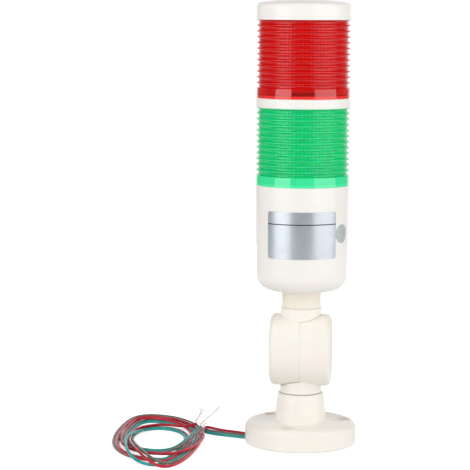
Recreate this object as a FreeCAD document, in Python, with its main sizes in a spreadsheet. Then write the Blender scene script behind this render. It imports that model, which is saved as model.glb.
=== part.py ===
import FreeCAD, Part
import Sketcher
import math
import os
from FreeCAD import Placement, Rotation, Vector

# Stack light, 50 mm tower with a red and a green tier on a folding foot.
# Millimetres. Z is up, X runs along the fold's pivot and the front is at -Y.
# The origin is the centre of the foot's underside.

SIZES = {
    # Foot: a round flange with a hollow underside and a socket for the fold
    "foot_radius": 30.0,
    "foot_height": 12.0,
    "foot_wall": 3.0,
    "foot_top_round": 3.5,
    "foot_bottom_round": 1.2,
    "foot_core_radius": 9.6,
    "socket_foot_radius": 13.7,
    "socket_rim_radius": 12.35,
    "socket_top": 27.5,
    "socket_fillet": 2.0,
    "screw_circle_radius": 22.5,
    "screw_hole_radius": 2.75,
    "screw_seat_radius": 5.0,
    "screw_seat_depth": 3.0,
    "screw_boss_radius": 6.0,
    "screw_count": 3,
    "first_screw_angle": 15.0,
    "rib_thickness": 1.6,
    "between_angle": 60.0,
    "notch_angle": 167.5,
    "notch_width": 9.0,
    "notch_height": 4.2,
    # Fold: two equal halves face to face on one pivot screw
    "pivot_height": 51.0,
    "drum_radius": 19.5,
    "drum_half_width": 16.4,
    "drum_edge_round": 3.0,
    "drum_seam_round": 0.3,
    "drum_wall": 3.0,
    "hub_radius": 7.6,
    "seam_gap": 0.1,
    "neck_radius": 11.0,
    "neck_reach": 23.1,
    "neck_gap": 0.3,
    "spigot_radius": 9.0,
    "spigot_length": 12.0,
    "spigot_play": 0.05,
    "wire_bore_radius": 6.0,
    "pivot_radius": 2.5,
    "pivot_play": 0.08,
    "pivot_seat_radius": 5.8,
    "pivot_seat_depth": 6.2,
    "pivot_seat_play": 0.1,
    "pivot_head_radius": 4.25,
    "pivot_head_height": 4.8,
    "pivot_key_radius": 2.3,
    "pivot_key_depth": 2.6,
    "pivot_washer_radius": 5.2,
    "pivot_washer_thickness": 1.0,
    "pivot_nut_radius": 4.6,
    "pivot_nut_height": 4.0,
    # Body: a moulded cup with its pole in one piece
    "pole_radius": 10.5,
    "body_bottom": 83.7,
    "body_corner": 8.5,
    "body_radius": 24.8,
    "body_taper": 0.5,
    "body_height": 56.7,
    "body_wall": 2.5,
    "shelf_ledge": 1.8,
    "shelf_thickness": 3.0,
    "lip_play": 0.1,
    "lip_thickness": 1.5,
    "lip_height": 1.9,
    "anchor_inset": 4.2,
    "anchor_boss_radius": 3.1,
    "anchor_lug_width": 4.3,
    "anchor_boss_length": 15.0,
    "anchor_count": 3,
    "anchor_thickness": 1.5,
    "anchor_play": 0.2,
    "board_post_radius": 2.6,
    "board_post_length": 17.0,
    "board_post_inset": 4.8,
    "small_screw_radius": 1.25,
    "small_screw_length": 8.0,
    "small_head_radius": 2.2,
    "small_head_height": 1.6,
    "driver_play": 2.5,
    "board_play": 0.5,
    "board_thickness": 1.6,
    "terminal_length": 12.7,
    "terminal_width": 6.3,
    "terminal_height": 8.0,
    "terminal_gap": 1.0,
    "capacitor_radius": 4.2,
    "capacitor_height": 12.7,
    "capacitor_left": 5.5,
    "capacitor_front": 9.2,
    "chip_width": 8.4,
    "chip_height": 2.0,
    "wire_hole_radius": 3.0,
    "window_circle_radius": 10.9,
    # Lenses: ribbed outside, fluted inside
    "lens_proud": 0.05,
    "lens_wall": 3.45,
    "lens_height": 41.4,
    "lens_band_height": 5.4,
    "fin_pitch": 3.03,
    "fin_tip": 0.6,
    "fin_depth": 1.3,
    "fin_draft": 0.15,
    "fin_groove_count": 12,
    "flute_count": 72,
    "flute_depth": 0.55,
    "flute_width": 1.2,
    "seal_section": 0.75,
    "seal_play": 0.05,
    "ring_proud": 0.3,
    "ring_height": 5.1,
    "ring_chamfer": 0.4,
    "ring_web_thickness": 1.8,
    "ring_web_drop": 0.7,
    "cap_proud": 0.2,
    "cap_side_height": 6.9,
    "cap_corner": 2.1,
    "cap_dome_height": 2.0,
    "cap_wall": 2.6,
    "cap_boss_radius": 5.0,
    "cap_boss_length": 4.0,
    "insert_radius": 3.2,
    "insert_length": 4.6,
    # Middle: one threaded rod clamps the tiers together
    "rod_radius": 2.0,
    "rod_tail": 6.0,
    "rod_play": 0.1,
    "rod_nut_radius": 4.0,
    "rod_nut_height": 3.2,
    "column_radius": 8.2,
    "column_bore_radius": 4.7,
    "column_height": 33.0,
    "lamp_width": 3.4,
    "lamp_height": 2.8,
    "lamp_thickness": 0.9,
    "lamp_rows": 3,
    "lamp_pitch": 9.0,
    "plug_width": 12.7,
    "plug_depth": 4.2,
    "plug_height": 2.0,
    "plug_inset": 0.8,
    "plug_angle": 5.5,
    # Label and round sticker on the body's front
    "label_bottom": 102.7,
    "label_height": 25.0,
    "label_thickness": 0.2,
    "label_play": 0.05,
    "label_width": 40.6,
    "label_angle": -86.7,
    "sticker_radius": 5.0,
    "sticker_blank": 12.0,
    "sticker_height": 115.5,
    "sticker_gap": 0.15,
    # Wires
    "wire_diameter": 1.5,
    "hank_length": 130.0,
    "hank_width": 51.0,
    "hank_hole_length": 54.0,
    "hank_hole_width": 29.0,
    "hank_height": 5.5,
}

doc = FreeCAD.newDocument("stack_light")
sheet = doc.addObject("Spreadsheet::Sheet", "Sizes")
for row, (name, number) in enumerate(SIZES.items(), start=1):
    sheet.set(f"A{row}", name.replace("_", " "))
    sheet.set(f"B{row}", str(number))
    sheet.setAlias(f"B{row}", name)
doc.recompute()


class Size:
    """A length that keeps the sheet's formula it comes from."""

    def __init__(self, number, formula):
        self.number = number
        self.formula = formula

    def joined(self, sign, other, number):
        right = other.formula if isinstance(other, Size) else str(other)
        return Size(number, f"({self.formula} {sign} {right})")

    def __add__(self, other):
        return self.joined("+", other, self.number + plain(other))

    def __sub__(self, other):
        return self.joined("-", other, self.number - plain(other))

    def __mul__(self, other):
        return self.joined("*", other, self.number * plain(other))

    def __truediv__(self, other):
        return self.joined("/", other, self.number / plain(other))

    def __radd__(self, other):
        return Size(other + self.number, f"({other} + {self.formula})")

    def __rsub__(self, other):
        return Size(other - self.number, f"({other} - {self.formula})")

    def __neg__(self):
        return Size(-self.number, f"(-{self.formula})")


def plain(amount):
    return amount.number if isinstance(amount, Size) else amount


class SheetSizes:
    """Every size of the sheet by its own name."""

    def __getattr__(self, name):
        return Size(SIZES[name], f"Sizes.{name}")


s = SheetSizes()


def cosine(angle):
    return Size(math.cos(math.radians(plain(angle))), f"cos({angle.formula})")


def sine(angle):
    return Size(math.sin(math.radians(plain(angle))), f"sin({angle.formula})")


def bind(thing, prop, amount):
    if isinstance(amount, Size):
        thing.setExpression(prop, amount.formula)
    else:
        thing.setExpression(prop, str(amount))


def place(thing, at=(0, 0, 0), axis=(0, 0, 1), turn=0):
    thing.Placement = Placement(Vector(0, 0, 0), Rotation(Vector(*axis), plain(turn)))
    for letter, amount in zip("xyz", at):
        bind(thing, f"Placement.Base.{letter}", amount)
    if isinstance(turn, Size):
        bind(thing, "Placement.Rotation.Angle", turn)


# Sketches and solids

ALONG_X = dict(axis=(0, 1, 0), turn=90)


def fix_point(sketch, edge, end, x, z):
    """Holds one end of an edge at x, z, or on an axis where one of them is 0."""
    if isinstance(x, Size):
        number = sketch.addConstraint(Sketcher.Constraint("DistanceX", -1, 1, edge, end, plain(x)))
        bind(sketch, f"Constraints[{number}]", x)
    else:
        sketch.addConstraint(Sketcher.Constraint("PointOnObject", edge, end, -2))
    if isinstance(z, Size):
        number = sketch.addConstraint(Sketcher.Constraint("DistanceY", -1, 1, edge, end, plain(z)))
        bind(sketch, f"Constraints[{number}]", z)
    else:
        sketch.addConstraint(Sketcher.Constraint("PointOnObject", edge, end, -1))


def arc_between(start, end, radius, side):
    """The short arc from start to end, with its centre to the left (1) or right (-1)."""
    chord = end.sub(start)
    middle = (start + end) * 0.5
    rise = math.sqrt(max(radius**2 - (chord.Length / 2) ** 2, 0))
    left = Vector(-chord.y, chord.x, 0).normalize()
    centre = middle + left * (rise * side)
    first, last = (start, end) if side > 0 else (end, start)
    angles = [math.atan2(p.y - centre.y, p.x - centre.x) for p in (first, last)]
    circle = Part.Circle(centre, Vector(0, 0, 1), radius)
    return Part.ArcOfCircle(circle, *angles)


def outline(sketch, corners):
    """Draws a closed outline. A corner with a radius and a side starts an arc.

    The arc's radius is held, or its centre on the Z axis where the corner says so.
    """
    points = [Vector(plain(c[0]), plain(c[1]), 0) for c in corners]
    ends = []
    for i, corner in enumerate(corners):
        start, end = points[i], points[(i + 1) % len(points)]
        if len(corner) > 2:
            edge = sketch.addGeometry(arc_between(start, end, plain(corner[2]), corner[3]))
            ends.append((edge, 1, 2) if corner[3] > 0 else (edge, 2, 1))
        else:
            edge = sketch.addGeometry(Part.LineSegment(start, end))
            ends.append((edge, 1, 2))
    for i, corner in enumerate(corners):
        edge, first, last = ends[i]
        following, start, _ = ends[(i + 1) % len(ends)]
        sketch.addConstraint(Sketcher.Constraint("Coincident", edge, last, following, start))
        fix_point(sketch, edge, first, corner[0], corner[1])
        if len(corner) > 4:
            sketch.addConstraint(Sketcher.Constraint("PointOnObject", edge, 3, -2))
        elif len(corner) > 2:
            number = sketch.addConstraint(Sketcher.Constraint("Radius", edge, plain(corner[2])))
            bind(sketch, f"Constraints[{number}]", corner[2])


def circle_at(sketch, x, radius):
    """Draws one circle with its centre on the sketch's own X axis."""
    centre = Vector(plain(x), 0, 0)
    edge = sketch.addGeometry(Part.Circle(centre, Vector(0, 0, 1), plain(radius)))
    fix_point(sketch, edge, 3, x, 0)
    number = sketch.addConstraint(Sketcher.Constraint("Radius", edge, plain(radius)))
    bind(sketch, f"Constraints[{number}]", radius)


def block(sketch, x_from, x_to, width):
    """Draws a rectangle that lies along the sketch's X axis."""
    half = width / 2
    outline(sketch, [(x_from, -half), (x_to, -half), (x_to, half), (x_from, half)])


def new_body(name):
    body = doc.addObject("PartDesign::Body", name)
    body.Label = name
    return body


def new_sketch(body, name, plane, height=None, turn=None):
    sketch = body.newObject("Sketcher::SketchObject", name)
    roles = {feature.Role: feature for feature in body.Origin.OriginFeatures}
    sketch.AttachmentSupport = (roles[plane], "")
    sketch.MapMode = "FlatFace"
    if turn is not None:
        sketch.AttachmentOffset = Placement(Vector(0, 0, 0), Rotation(Vector(0, 0, 1), plain(turn)))
        bind(sketch, "AttachmentOffset.Rotation.Angle", turn)
    if height is not None:
        bind(sketch, "AttachmentOffset.Base.z", height)
    return sketch


def turned(body, kind, name, corners, axis="V_Axis", sweep=360):
    """A Revolution or a Groove of an outline in the XZ plane, about Z or X."""
    sketch = new_sketch(body, f"{name}_outline", "XZ_Plane")
    outline(sketch, corners)
    feature = body.newObject(f"PartDesign::{kind}", name)
    feature.Profile = sketch
    feature.ReferenceAxis = (sketch, [axis])
    bind(feature, "Angle", sweep)
    doc.recompute()
    return feature


def extruded(body, kind, name, sketch, length, upwards):
    """A Pad or a Pocket of a level sketch, up or down from it."""
    feature = body.newObject(f"PartDesign::{kind}", name)
    feature.Profile = sketch
    bind(feature, "Length", length)
    feature.Reversed = upwards == (kind == "Pocket")
    doc.recompute()
    return feature


def around(body, name, originals, count):
    """Repeats features about the body's Z axis, and makes the result its tip."""
    pattern = body.newObject("PartDesign::PolarPattern", name)
    pattern.Originals = originals
    roles = {feature.Role: feature for feature in body.Origin.OriginFeatures}
    pattern.Axis = (roles["Z_Axis"], [""])
    pattern.Angle = 360
    bind(pattern, "Occurrences", count)
    body.Tip = pattern
    doc.recompute()
    return pattern


def primitive(kind, name, at=(0, 0, 0), axis=(0, 0, 1), turn=0, **amounts):
    thing = doc.addObject(f"Part::{kind}", name)
    for prop, amount in amounts.items():
        bind(thing, prop, amount)
    place(thing, at, axis, turn)
    return thing


def cut(name, base, tool):
    thing = doc.addObject("Part::Cut", name)
    thing.Base = base
    thing.Tool = tool
    thing.Label = name
    return thing


def fused(name, shapes):
    thing = doc.addObject("Part::MultiFuse", name)
    thing.Shapes = shapes
    thing.Label = name
    return thing


def group(name, shapes):
    """Separate like solids that share one node."""
    thing = doc.addObject("Part::Compound", name)
    thing.Links = shapes
    thing.Label = name
    return thing


def ring(name, outer, inner, height, at, **pose):
    """A flat ring or a plain tube."""
    disc = primitive("Cylinder", f"{name}_disc", at, Radius=outer, Height=height, **pose)
    hole = primitive("Cylinder", f"{name}_hole", at, Radius=inner, Height=height, **pose)
    return cut(name, disc, hole)


parts = []

PAST = 1  # how far a cut runs past the face that it opens
DEGREES = 180 / math.pi

# Heights and radii that several pieces share, from the foot upwards
pole_bottom = s.pivot_height + s.neck_reach
body_top = s.body_bottom + s.body_height
ring_bottom = body_top + s.lens_height
ring_top = ring_bottom + s.ring_height
cap_bottom = ring_top + s.lens_height
cap_shoulder = cap_bottom + s.cap_side_height
cap_rim = cap_shoulder + s.cap_corner
body_low_radius = s.body_radius - s.body_taper
lens_radius = s.body_radius + s.lens_proud
lens_inner = lens_radius - s.lens_wall
lip_radius = lens_inner - s.lip_play
lip_inner = lip_radius - s.lip_thickness
shelf_radius = lip_inner - s.shelf_ledge
anchor_circle = lip_inner - s.anchor_inset
driver_radius = body_low_radius - s.body_wall - s.driver_play
post_circle = driver_radius - s.board_post_inset
board_radius = lip_inner - s.board_play
ring_radius = s.body_radius + s.ring_proud
cap_radius = s.body_radius + s.cap_proud
seal_bore = lip_radius + s.seal_section * 2 + s.seal_play
seal_room = s.seal_section * 2 + s.seal_play
shelf_top = body_top - s.anchor_thickness
pole_bore = s.spigot_radius + s.spigot_play


# Foot. One moulding: flange, three screw bosses, three ribs, socket for the fold
# and a channel in the underside that lets the wires out at the back left.
def mounting_base():
    body = new_body("mounting_base")
    ceiling = s.foot_height - s.foot_wall
    wall_inside = s.foot_radius - s.foot_wall
    socket_floor = s.socket_top - s.spigot_length - s.spigot_play
    corners = [
        (s.wire_bore_radius, 0),
        (s.foot_core_radius, 0),
        (s.foot_core_radius, ceiling),
        (wall_inside, ceiling),
        (wall_inside, 0),
        (s.foot_radius - s.foot_bottom_round, 0, s.foot_bottom_round, 1),
        (s.foot_radius, s.foot_bottom_round),
        (s.foot_radius, s.foot_height - s.foot_top_round, s.foot_top_round, 1),
        (s.foot_radius - s.foot_top_round, s.foot_height),
        (s.socket_foot_radius + s.socket_fillet, s.foot_height, s.socket_fillet, -1),
        (s.socket_foot_radius, s.foot_height + s.socket_fillet),
        (s.socket_rim_radius, s.socket_top),
        (pole_bore, s.socket_top),
        (pole_bore, socket_floor),
        (s.wire_bore_radius, socket_floor),
    ]
    turned(body, "Revolution", "foot_turned", corners)

    boss = new_sketch(body, "boss_outline", "XY_Plane", turn=s.first_screw_angle)
    circle_at(boss, s.screw_circle_radius, s.screw_boss_radius)
    bosses = extruded(body, "Pad", "boss", boss, ceiling + s.foot_wall / 2, True)
    rib = new_sketch(body, "rib_outline", "XY_Plane", turn=s.first_screw_angle + s.between_angle)
    block(rib, s.foot_core_radius - PAST, wall_inside + PAST, s.rib_thickness)
    ribs = extruded(body, "Pad", "rib", rib, ceiling + s.foot_wall / 2, True)
    around(body, "bosses_and_ribs", [bosses, ribs], s.screw_count)

    through = new_sketch(body, "screw_hole_outline", "XY_Plane", turn=s.first_screw_angle)
    circle_at(through, s.screw_circle_radius, s.screw_hole_radius)
    holes = extruded(body, "Pocket", "screw_hole", through, s.foot_height + PAST, True)
    seat = new_sketch(
        body, "screw_seat_outline", "XY_Plane", s.foot_height - s.screw_seat_depth, s.first_screw_angle
    )
    circle_at(seat, s.screw_circle_radius, s.screw_seat_radius)
    seats = extruded(body, "Pocket", "screw_seat", seat, s.screw_seat_depth + PAST, True)
    around(body, "screw_holes", [holes, seats], s.screw_count)

    channel = new_sketch(body, "wire_channel_outline", "XY_Plane", turn=s.notch_angle)
    block(channel, s.wire_bore_radius - PAST, s.foot_radius + PAST, s.notch_width)
    body.Tip = extruded(body, "Pocket", "wire_channel", channel, s.notch_height, True)
    return body


# Fold. Each half is a drum that opens towards the other, with a hub for the pivot
# screw and a neck. The neck's far side hangs over the other drum, clear by a gap.
def fold_half(name):
    body = new_body(name)
    seam = -s.seam_gap / 2
    outer = -s.drum_half_width
    rim_inside = s.drum_radius - s.drum_wall
    drum = [
        (seam, 0),
        (seam, s.drum_radius - s.drum_seam_round, s.drum_seam_round, 1),
        (seam - s.drum_seam_round, s.drum_radius),
        (outer + s.drum_edge_round, s.drum_radius, s.drum_edge_round, 1),
        (outer, s.drum_radius - s.drum_edge_round),
        (outer, 0),
    ]
    turned(body, "Revolution", f"{name}_drum", drum, "H_Axis")
    neck = new_sketch(body, f"{name}_neck_outline", "XY_Plane")
    circle_at(neck, 0, s.neck_radius)
    extruded(body, "Pad", f"{name}_neck", neck, s.neck_reach, True)
    other_drum = [
        (seam, 0),
        (s.drum_half_width + PAST, 0),
        (s.drum_half_width + PAST, s.drum_radius + s.neck_gap),
        (seam, s.drum_radius + s.neck_gap),
    ]
    turned(body, "Groove", f"{name}_clear", other_drum, "H_Axis")
    hollow = [
        (s.drum_wall - s.drum_half_width, s.hub_radius),
        (s.seam_gap, s.hub_radius),
        (s.seam_gap, rim_inside),
        (s.drum_wall - s.drum_half_width, rim_inside),
    ]
    turned(body, "Groove", f"{name}_hollow", hollow, "H_Axis")
    pivot = [
        (-s.drum_half_width - PAST, 0),
        (s.seam_gap, 0),
        (s.seam_gap, s.pivot_radius + s.pivot_play),
        (s.pivot_seat_depth - s.drum_half_width, s.pivot_radius + s.pivot_play),
        (s.pivot_seat_depth - s.drum_half_width, s.pivot_seat_radius),
        (-s.drum_half_width - PAST, s.pivot_seat_radius),
    ]
    turned(body, "Groove", f"{name}_pivot", pivot, "H_Axis")
    spigot = new_sketch(body, f"{name}_spigot_outline", "XY_Plane", s.neck_reach)
    circle_at(spigot, 0, s.spigot_radius)
    extruded(body, "Pad", f"{name}_spigot", spigot, s.spigot_length, True)
    bore = new_sketch(body, f"{name}_bore_outline", "XY_Plane", s.hub_radius + s.drum_wall)
    circle_at(bore, 0, s.wire_bore_radius)
    length = s.neck_reach + s.spigot_length - s.hub_radius
    body.Tip = extruded(body, "Pocket", f"{name}_bore", bore, length, True)
    return body


upper_half = fold_half("upper_joint_half")
place(upper_half, (0, 0, s.pivot_height))
lower_half = fold_half("lower_joint_half")
place(lower_half, (0, 0, s.pivot_height), axis=(0, 1, 0), turn=180)


# Pivot: a socket head screw from the left, two washers and a nut on the right.
def pivot_pieces():
    seat = s.drum_half_width - s.pivot_seat_depth
    washer_seat = seat + s.pivot_seat_play
    head_seat = washer_seat + s.pivot_washer_thickness
    head_end = head_seat + s.pivot_head_height
    nut_end = head_seat + s.pivot_nut_height
    height = s.pivot_height
    shank = primitive(
        "Cylinder", "pivot_shank", (-head_seat, 0, height), **ALONG_X,
        Radius=s.pivot_radius, Height=head_seat + nut_end,
    )
    head = primitive(
        "Cylinder", "pivot_head", (-head_end, 0, height), **ALONG_X,
        Radius=s.pivot_head_radius, Height=s.pivot_head_height,
    )
    key = primitive(
        "Prism", "pivot_key", (-head_end, 0, height), **ALONG_X,
        Polygon=6, Circumradius=s.pivot_key_radius, Height=s.pivot_key_depth,
    )
    screw = cut("pivot_screw", fused("pivot_blank", [shank, head]), key)
    bore = s.pivot_radius + s.pivot_play
    left = ring("pivot_head_washer", s.pivot_washer_radius, bore, s.pivot_washer_thickness,
                (-head_seat, 0, height), **ALONG_X)
    right = ring("pivot_nut_washer", s.pivot_washer_radius, bore, s.pivot_washer_thickness,
                 (washer_seat, 0, height), **ALONG_X)
    nut_blank = primitive(
        "Prism", "pivot_nut_blank", (head_seat, 0, height), **ALONG_X,
        Polygon=6, Circumradius=s.pivot_nut_radius, Height=s.pivot_nut_height,
    )
    nut_bore = primitive(
        "Cylinder", "pivot_nut_bore", (head_seat, 0, height), **ALONG_X,
        Radius=s.pivot_radius, Height=s.pivot_nut_height,
    )
    nut = cut("pivot_nut", nut_blank, nut_bore)
    return [screw, left, right, nut]


# Body. The cup narrows towards its rounded bottom and runs into the pole. Inside are
# a shelf for the anchor plate, three bosses under it and three posts for the board.
def body_housing():
    body = new_body("body_housing")
    post_angle = s.first_screw_angle + s.between_angle
    floor = s.body_bottom + s.body_wall
    inner_corner = s.body_corner - s.body_wall
    shelf_bottom = shelf_top - s.shelf_thickness
    corners = [
        (pole_bore, pole_bottom),
        (s.pole_radius, pole_bottom),
        (s.pole_radius, s.body_bottom),
        (body_low_radius - s.body_corner, s.body_bottom, s.body_corner, 1),
        (body_low_radius, s.body_bottom + s.body_corner),
        (s.body_radius, body_top),
        (lip_radius, body_top),
        (lip_radius, body_top + s.lip_height),
        (lip_inner, body_top + s.lip_height),
        (lip_inner, shelf_top),
        (shelf_radius, shelf_top),
        (shelf_radius, shelf_bottom),
        (s.body_radius - s.body_wall, shelf_bottom),
        (body_low_radius - s.body_wall, s.body_bottom + s.body_corner, inner_corner, -1),
        (body_low_radius - s.body_corner, floor),
        (pole_bore, floor),
    ]
    turned(body, "Revolution", "body_turned", corners)
    lug_bottom = shelf_top - s.anchor_boss_length
    lug = new_sketch(body, "anchor_lug_outline", "XY_Plane", lug_bottom, turn=s.first_screw_angle)
    block(lug, anchor_circle, body_low_radius - s.body_wall / 2, s.anchor_lug_width)
    lugs = extruded(body, "Pad", "anchor_lug", lug, s.anchor_boss_length, True)
    boss = new_sketch(body, "anchor_boss_outline", "XY_Plane", lug_bottom, turn=s.first_screw_angle)
    circle_at(boss, anchor_circle, s.anchor_boss_radius)
    bosses = extruded(body, "Pad", "anchor_boss", boss, s.anchor_boss_length, True)
    post = new_sketch(body, "board_post_outline", "XY_Plane", floor - PAST, turn=post_angle)
    circle_at(post, post_circle, s.board_post_radius)
    posts = extruded(body, "Pad", "board_post", post, s.board_post_length + PAST, True)
    around(body, "bosses_and_posts", [lugs, bosses, posts], s.anchor_count)
    hole = new_sketch(
        body, "anchor_hole_outline", "XY_Plane", shelf_top - s.small_screw_length, s.first_screw_angle
    )
    circle_at(hole, anchor_circle, s.small_screw_radius)
    holes = extruded(body, "Pocket", "anchor_hole", hole, s.small_screw_length + PAST, True)
    post_top = floor + s.board_post_length
    bore = new_sketch(
        body, "board_hole_outline", "XY_Plane", post_top - s.small_screw_length, post_angle
    )
    circle_at(bore, post_circle, s.small_screw_radius)
    bores = extruded(body, "Pocket", "board_hole", bore, s.small_screw_length + PAST, True)
    around(body, "screw_bores", [holes, bores], s.anchor_count)
    return body


# Lens. A tube with eleven thin fins between twelve grooves, a smooth band at its foot,
# a seat for a seal at each end and fine upright flutes inside. Both tiers use it.
def lens(name, bottom):
    body = new_body(name)
    tube = [
        (seal_bore, 0),
        (lens_radius, 0),
        (lens_radius, s.lens_height),
        (seal_bore, s.lens_height),
        (seal_bore, s.lens_height - seal_room),
        (lens_inner, s.lens_height - seal_room),
        (lens_inner, seal_room),
        (seal_bore, seal_room),
    ]
    turned(body, "Revolution", f"{name}_tube", tube)
    low = s.lens_band_height
    high = low + s.fin_pitch - s.fin_tip
    groove = [
        (lens_radius - s.fin_depth, low + s.fin_draft),
        (lens_radius + s.fin_depth / 4, low - s.fin_draft / 4),
        (lens_radius + s.fin_depth / 4, high + s.fin_draft / 4),
        (lens_radius - s.fin_depth, high - s.fin_draft),
    ]
    first = turned(body, "Groove", f"{name}_groove", groove)
    fins = body.newObject("PartDesign::LinearPattern", f"{name}_fins")
    fins.Originals = [first]
    roles = {feature.Role: feature for feature in body.Origin.OriginFeatures}
    fins.Direction = (roles["Z_Axis"], [""])
    fins.Reversed = False
    bind(fins, "Length", s.fin_pitch * (s.fin_groove_count - 1))
    bind(fins, "Occurrences", s.fin_groove_count)
    body.Tip = fins
    doc.recompute()
    flute = new_sketch(body, f"{name}_flute_outline", "XY_Plane", seal_room)
    inside = lens_inner - s.flute_depth
    corners = [
        (inside, -s.flute_width),
        (lens_inner + s.flute_depth, 0),
        (inside, s.flute_width),
    ]
    outline(flute, corners)
    cutter = extruded(body, "Pocket", f"{name}_flute", flute, s.lens_height - seal_room * 2, True)
    around(body, f"{name}_flutes", [cutter], s.flute_count)
    place(body, (0, 0, bottom))
    return body


# Spacer ring between the tiers, with a web that carries the upper lamp board.
def spacer_ring():
    body = new_body("spacer_ring")
    web_top = ring_top - s.ring_web_drop
    web_bottom = web_top - s.ring_web_thickness
    rod_hole = s.rod_radius + s.rod_play
    corners = [
        (rod_hole, web_bottom),
        (lip_inner, web_bottom),
        (lip_inner, ring_bottom - s.lip_height),
        (lip_radius, ring_bottom - s.lip_height),
        (lip_radius, ring_bottom),
        (ring_radius - s.ring_chamfer, ring_bottom),
        (ring_radius, ring_bottom + s.ring_chamfer),
        (ring_radius, ring_top - s.ring_chamfer),
        (ring_radius - s.ring_chamfer, ring_top),
        (lip_radius, ring_top),
        (lip_radius, ring_top + s.lip_height),
        (lip_inner, ring_top + s.lip_height),
        (lip_inner, web_top),
        (rod_hole, web_top),
    ]
    turned(body, "Revolution", "ring_turned", corners)
    hole = new_sketch(body, "wire_hole_outline", "XY_Plane", web_bottom - PAST)
    circle_at(hole, (s.column_radius + board_radius) / 2, s.wire_hole_radius)
    holes = extruded(body, "Pocket", "wire_hole", hole, s.ring_web_thickness + 2 * PAST, True)
    around(body, "wire_holes", [holes], s.anchor_count)
    return body


# Cap. A shallow dome with a lip that enters the red lens and a boss for the insert.
def top_cap():
    body = new_body("top_cap")
    peak = cap_rim + s.cap_dome_height
    ceiling = cap_rim - s.cap_wall
    boss_bottom = ceiling - s.cap_boss_length
    insert_top = boss_bottom + s.insert_length
    dome_edge = cap_radius - s.cap_corner
    dome_radius = (dome_edge * dome_edge / s.cap_dome_height + s.cap_dome_height) / 2
    corners = [
        (0, peak),
        (0, insert_top),
        (s.insert_radius, insert_top),
        (s.insert_radius, boss_bottom),
        (s.cap_boss_radius, boss_bottom),
        (s.cap_boss_radius, ceiling),
        (lip_inner, ceiling),
        (lip_inner, cap_bottom - s.lip_height),
        (lip_radius, cap_bottom - s.lip_height),
        (lip_radius, cap_bottom),
        (cap_radius, cap_bottom),
        (cap_radius, cap_shoulder, s.cap_corner, 1),
        (cap_radius - s.cap_corner, cap_rim, dome_radius, 1, "on_axis"),
    ]
    turned(body, "Revolution", "cap_turned", corners)
    return body


# Anchor plate, rod, nuts and insert: the clamp through the middle of both tiers.
def clamp_pieces():
    insert_bottom = cap_rim - s.cap_wall - s.cap_boss_length
    insert = ring("cap_insert", s.insert_radius, s.rod_radius, s.insert_length, (0, 0, insert_bottom))
    rod_bottom = shelf_top - s.rod_tail
    rod = primitive("Cylinder", "tie_rod", (0, 0, rod_bottom), Radius=s.rod_radius,
                    Height=insert_bottom + s.insert_length - rod_bottom)
    rod.Label = "tie_rod"
    nuts = []
    for where, bottom in (("low", shelf_top - s.rod_nut_height), ("high", body_top)):
        blank = primitive("Prism", f"rod_nut_{where}_blank", (0, 0, bottom), Polygon=6,
                          Circumradius=s.rod_nut_radius, Height=s.rod_nut_height)
        bore = primitive("Cylinder", f"rod_nut_{where}_bore", (0, 0, bottom),
                         Radius=s.rod_radius, Height=s.rod_nut_height)
        nuts.append(cut(f"rod_nut_{where}", blank, bore))
    plate = new_body("anchor_plate")
    sketch = new_sketch(plate, "plate_outline", "XY_Plane", shelf_top)
    circle_at(sketch, 0, lip_inner - s.anchor_play)
    circle_at(sketch, 0, s.rod_radius + s.rod_play)
    extruded(plate, "Pad", "plate", sketch, s.anchor_thickness, True)
    hole = new_sketch(plate, "plate_hole_outline", "XY_Plane", shelf_top - PAST, turn=s.first_screw_angle)
    circle_at(hole, anchor_circle, s.small_screw_radius + s.rod_play)
    holes = extruded(plate, "Pocket", "plate_hole", hole, s.anchor_thickness + 2 * PAST, True)
    window = new_sketch(plate, "plate_window_outline", "XY_Plane", shelf_top - PAST,
                        turn=s.first_screw_angle + s.between_angle)
    circle_at(window, s.window_circle_radius, s.wire_hole_radius)
    windows = extruded(plate, "Pocket", "plate_window", window, s.anchor_thickness + 2 * PAST, True)
    around(plate, "plate_holes", [holes, windows], s.anchor_count)
    return [insert, rod, group("rod_nuts", nuts), plate]


def small_screws(name, circle, seat, first_angle):
    """Three small screws with flat heads, on a circle."""
    screws = []
    for number in range(int(SIZES["anchor_count"])):
        angle = first_angle + 360 / SIZES["anchor_count"] * number
        at = (circle * cosine(angle), circle * sine(angle), seat)
        shank_at = (at[0], at[1], seat - s.small_screw_length + s.board_thickness)
        shank = primitive("Cylinder", f"{name}_shank_{number}", shank_at,
                          Radius=s.small_screw_radius, Height=s.small_screw_length - s.board_thickness)
        head = primitive("Cylinder", f"{name}_head_{number}", at,
                         Radius=s.small_head_radius, Height=s.small_head_height)
        screws.append(fused(f"{name}_{number}", [shank, head]))
    return group(name, screws)


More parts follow.
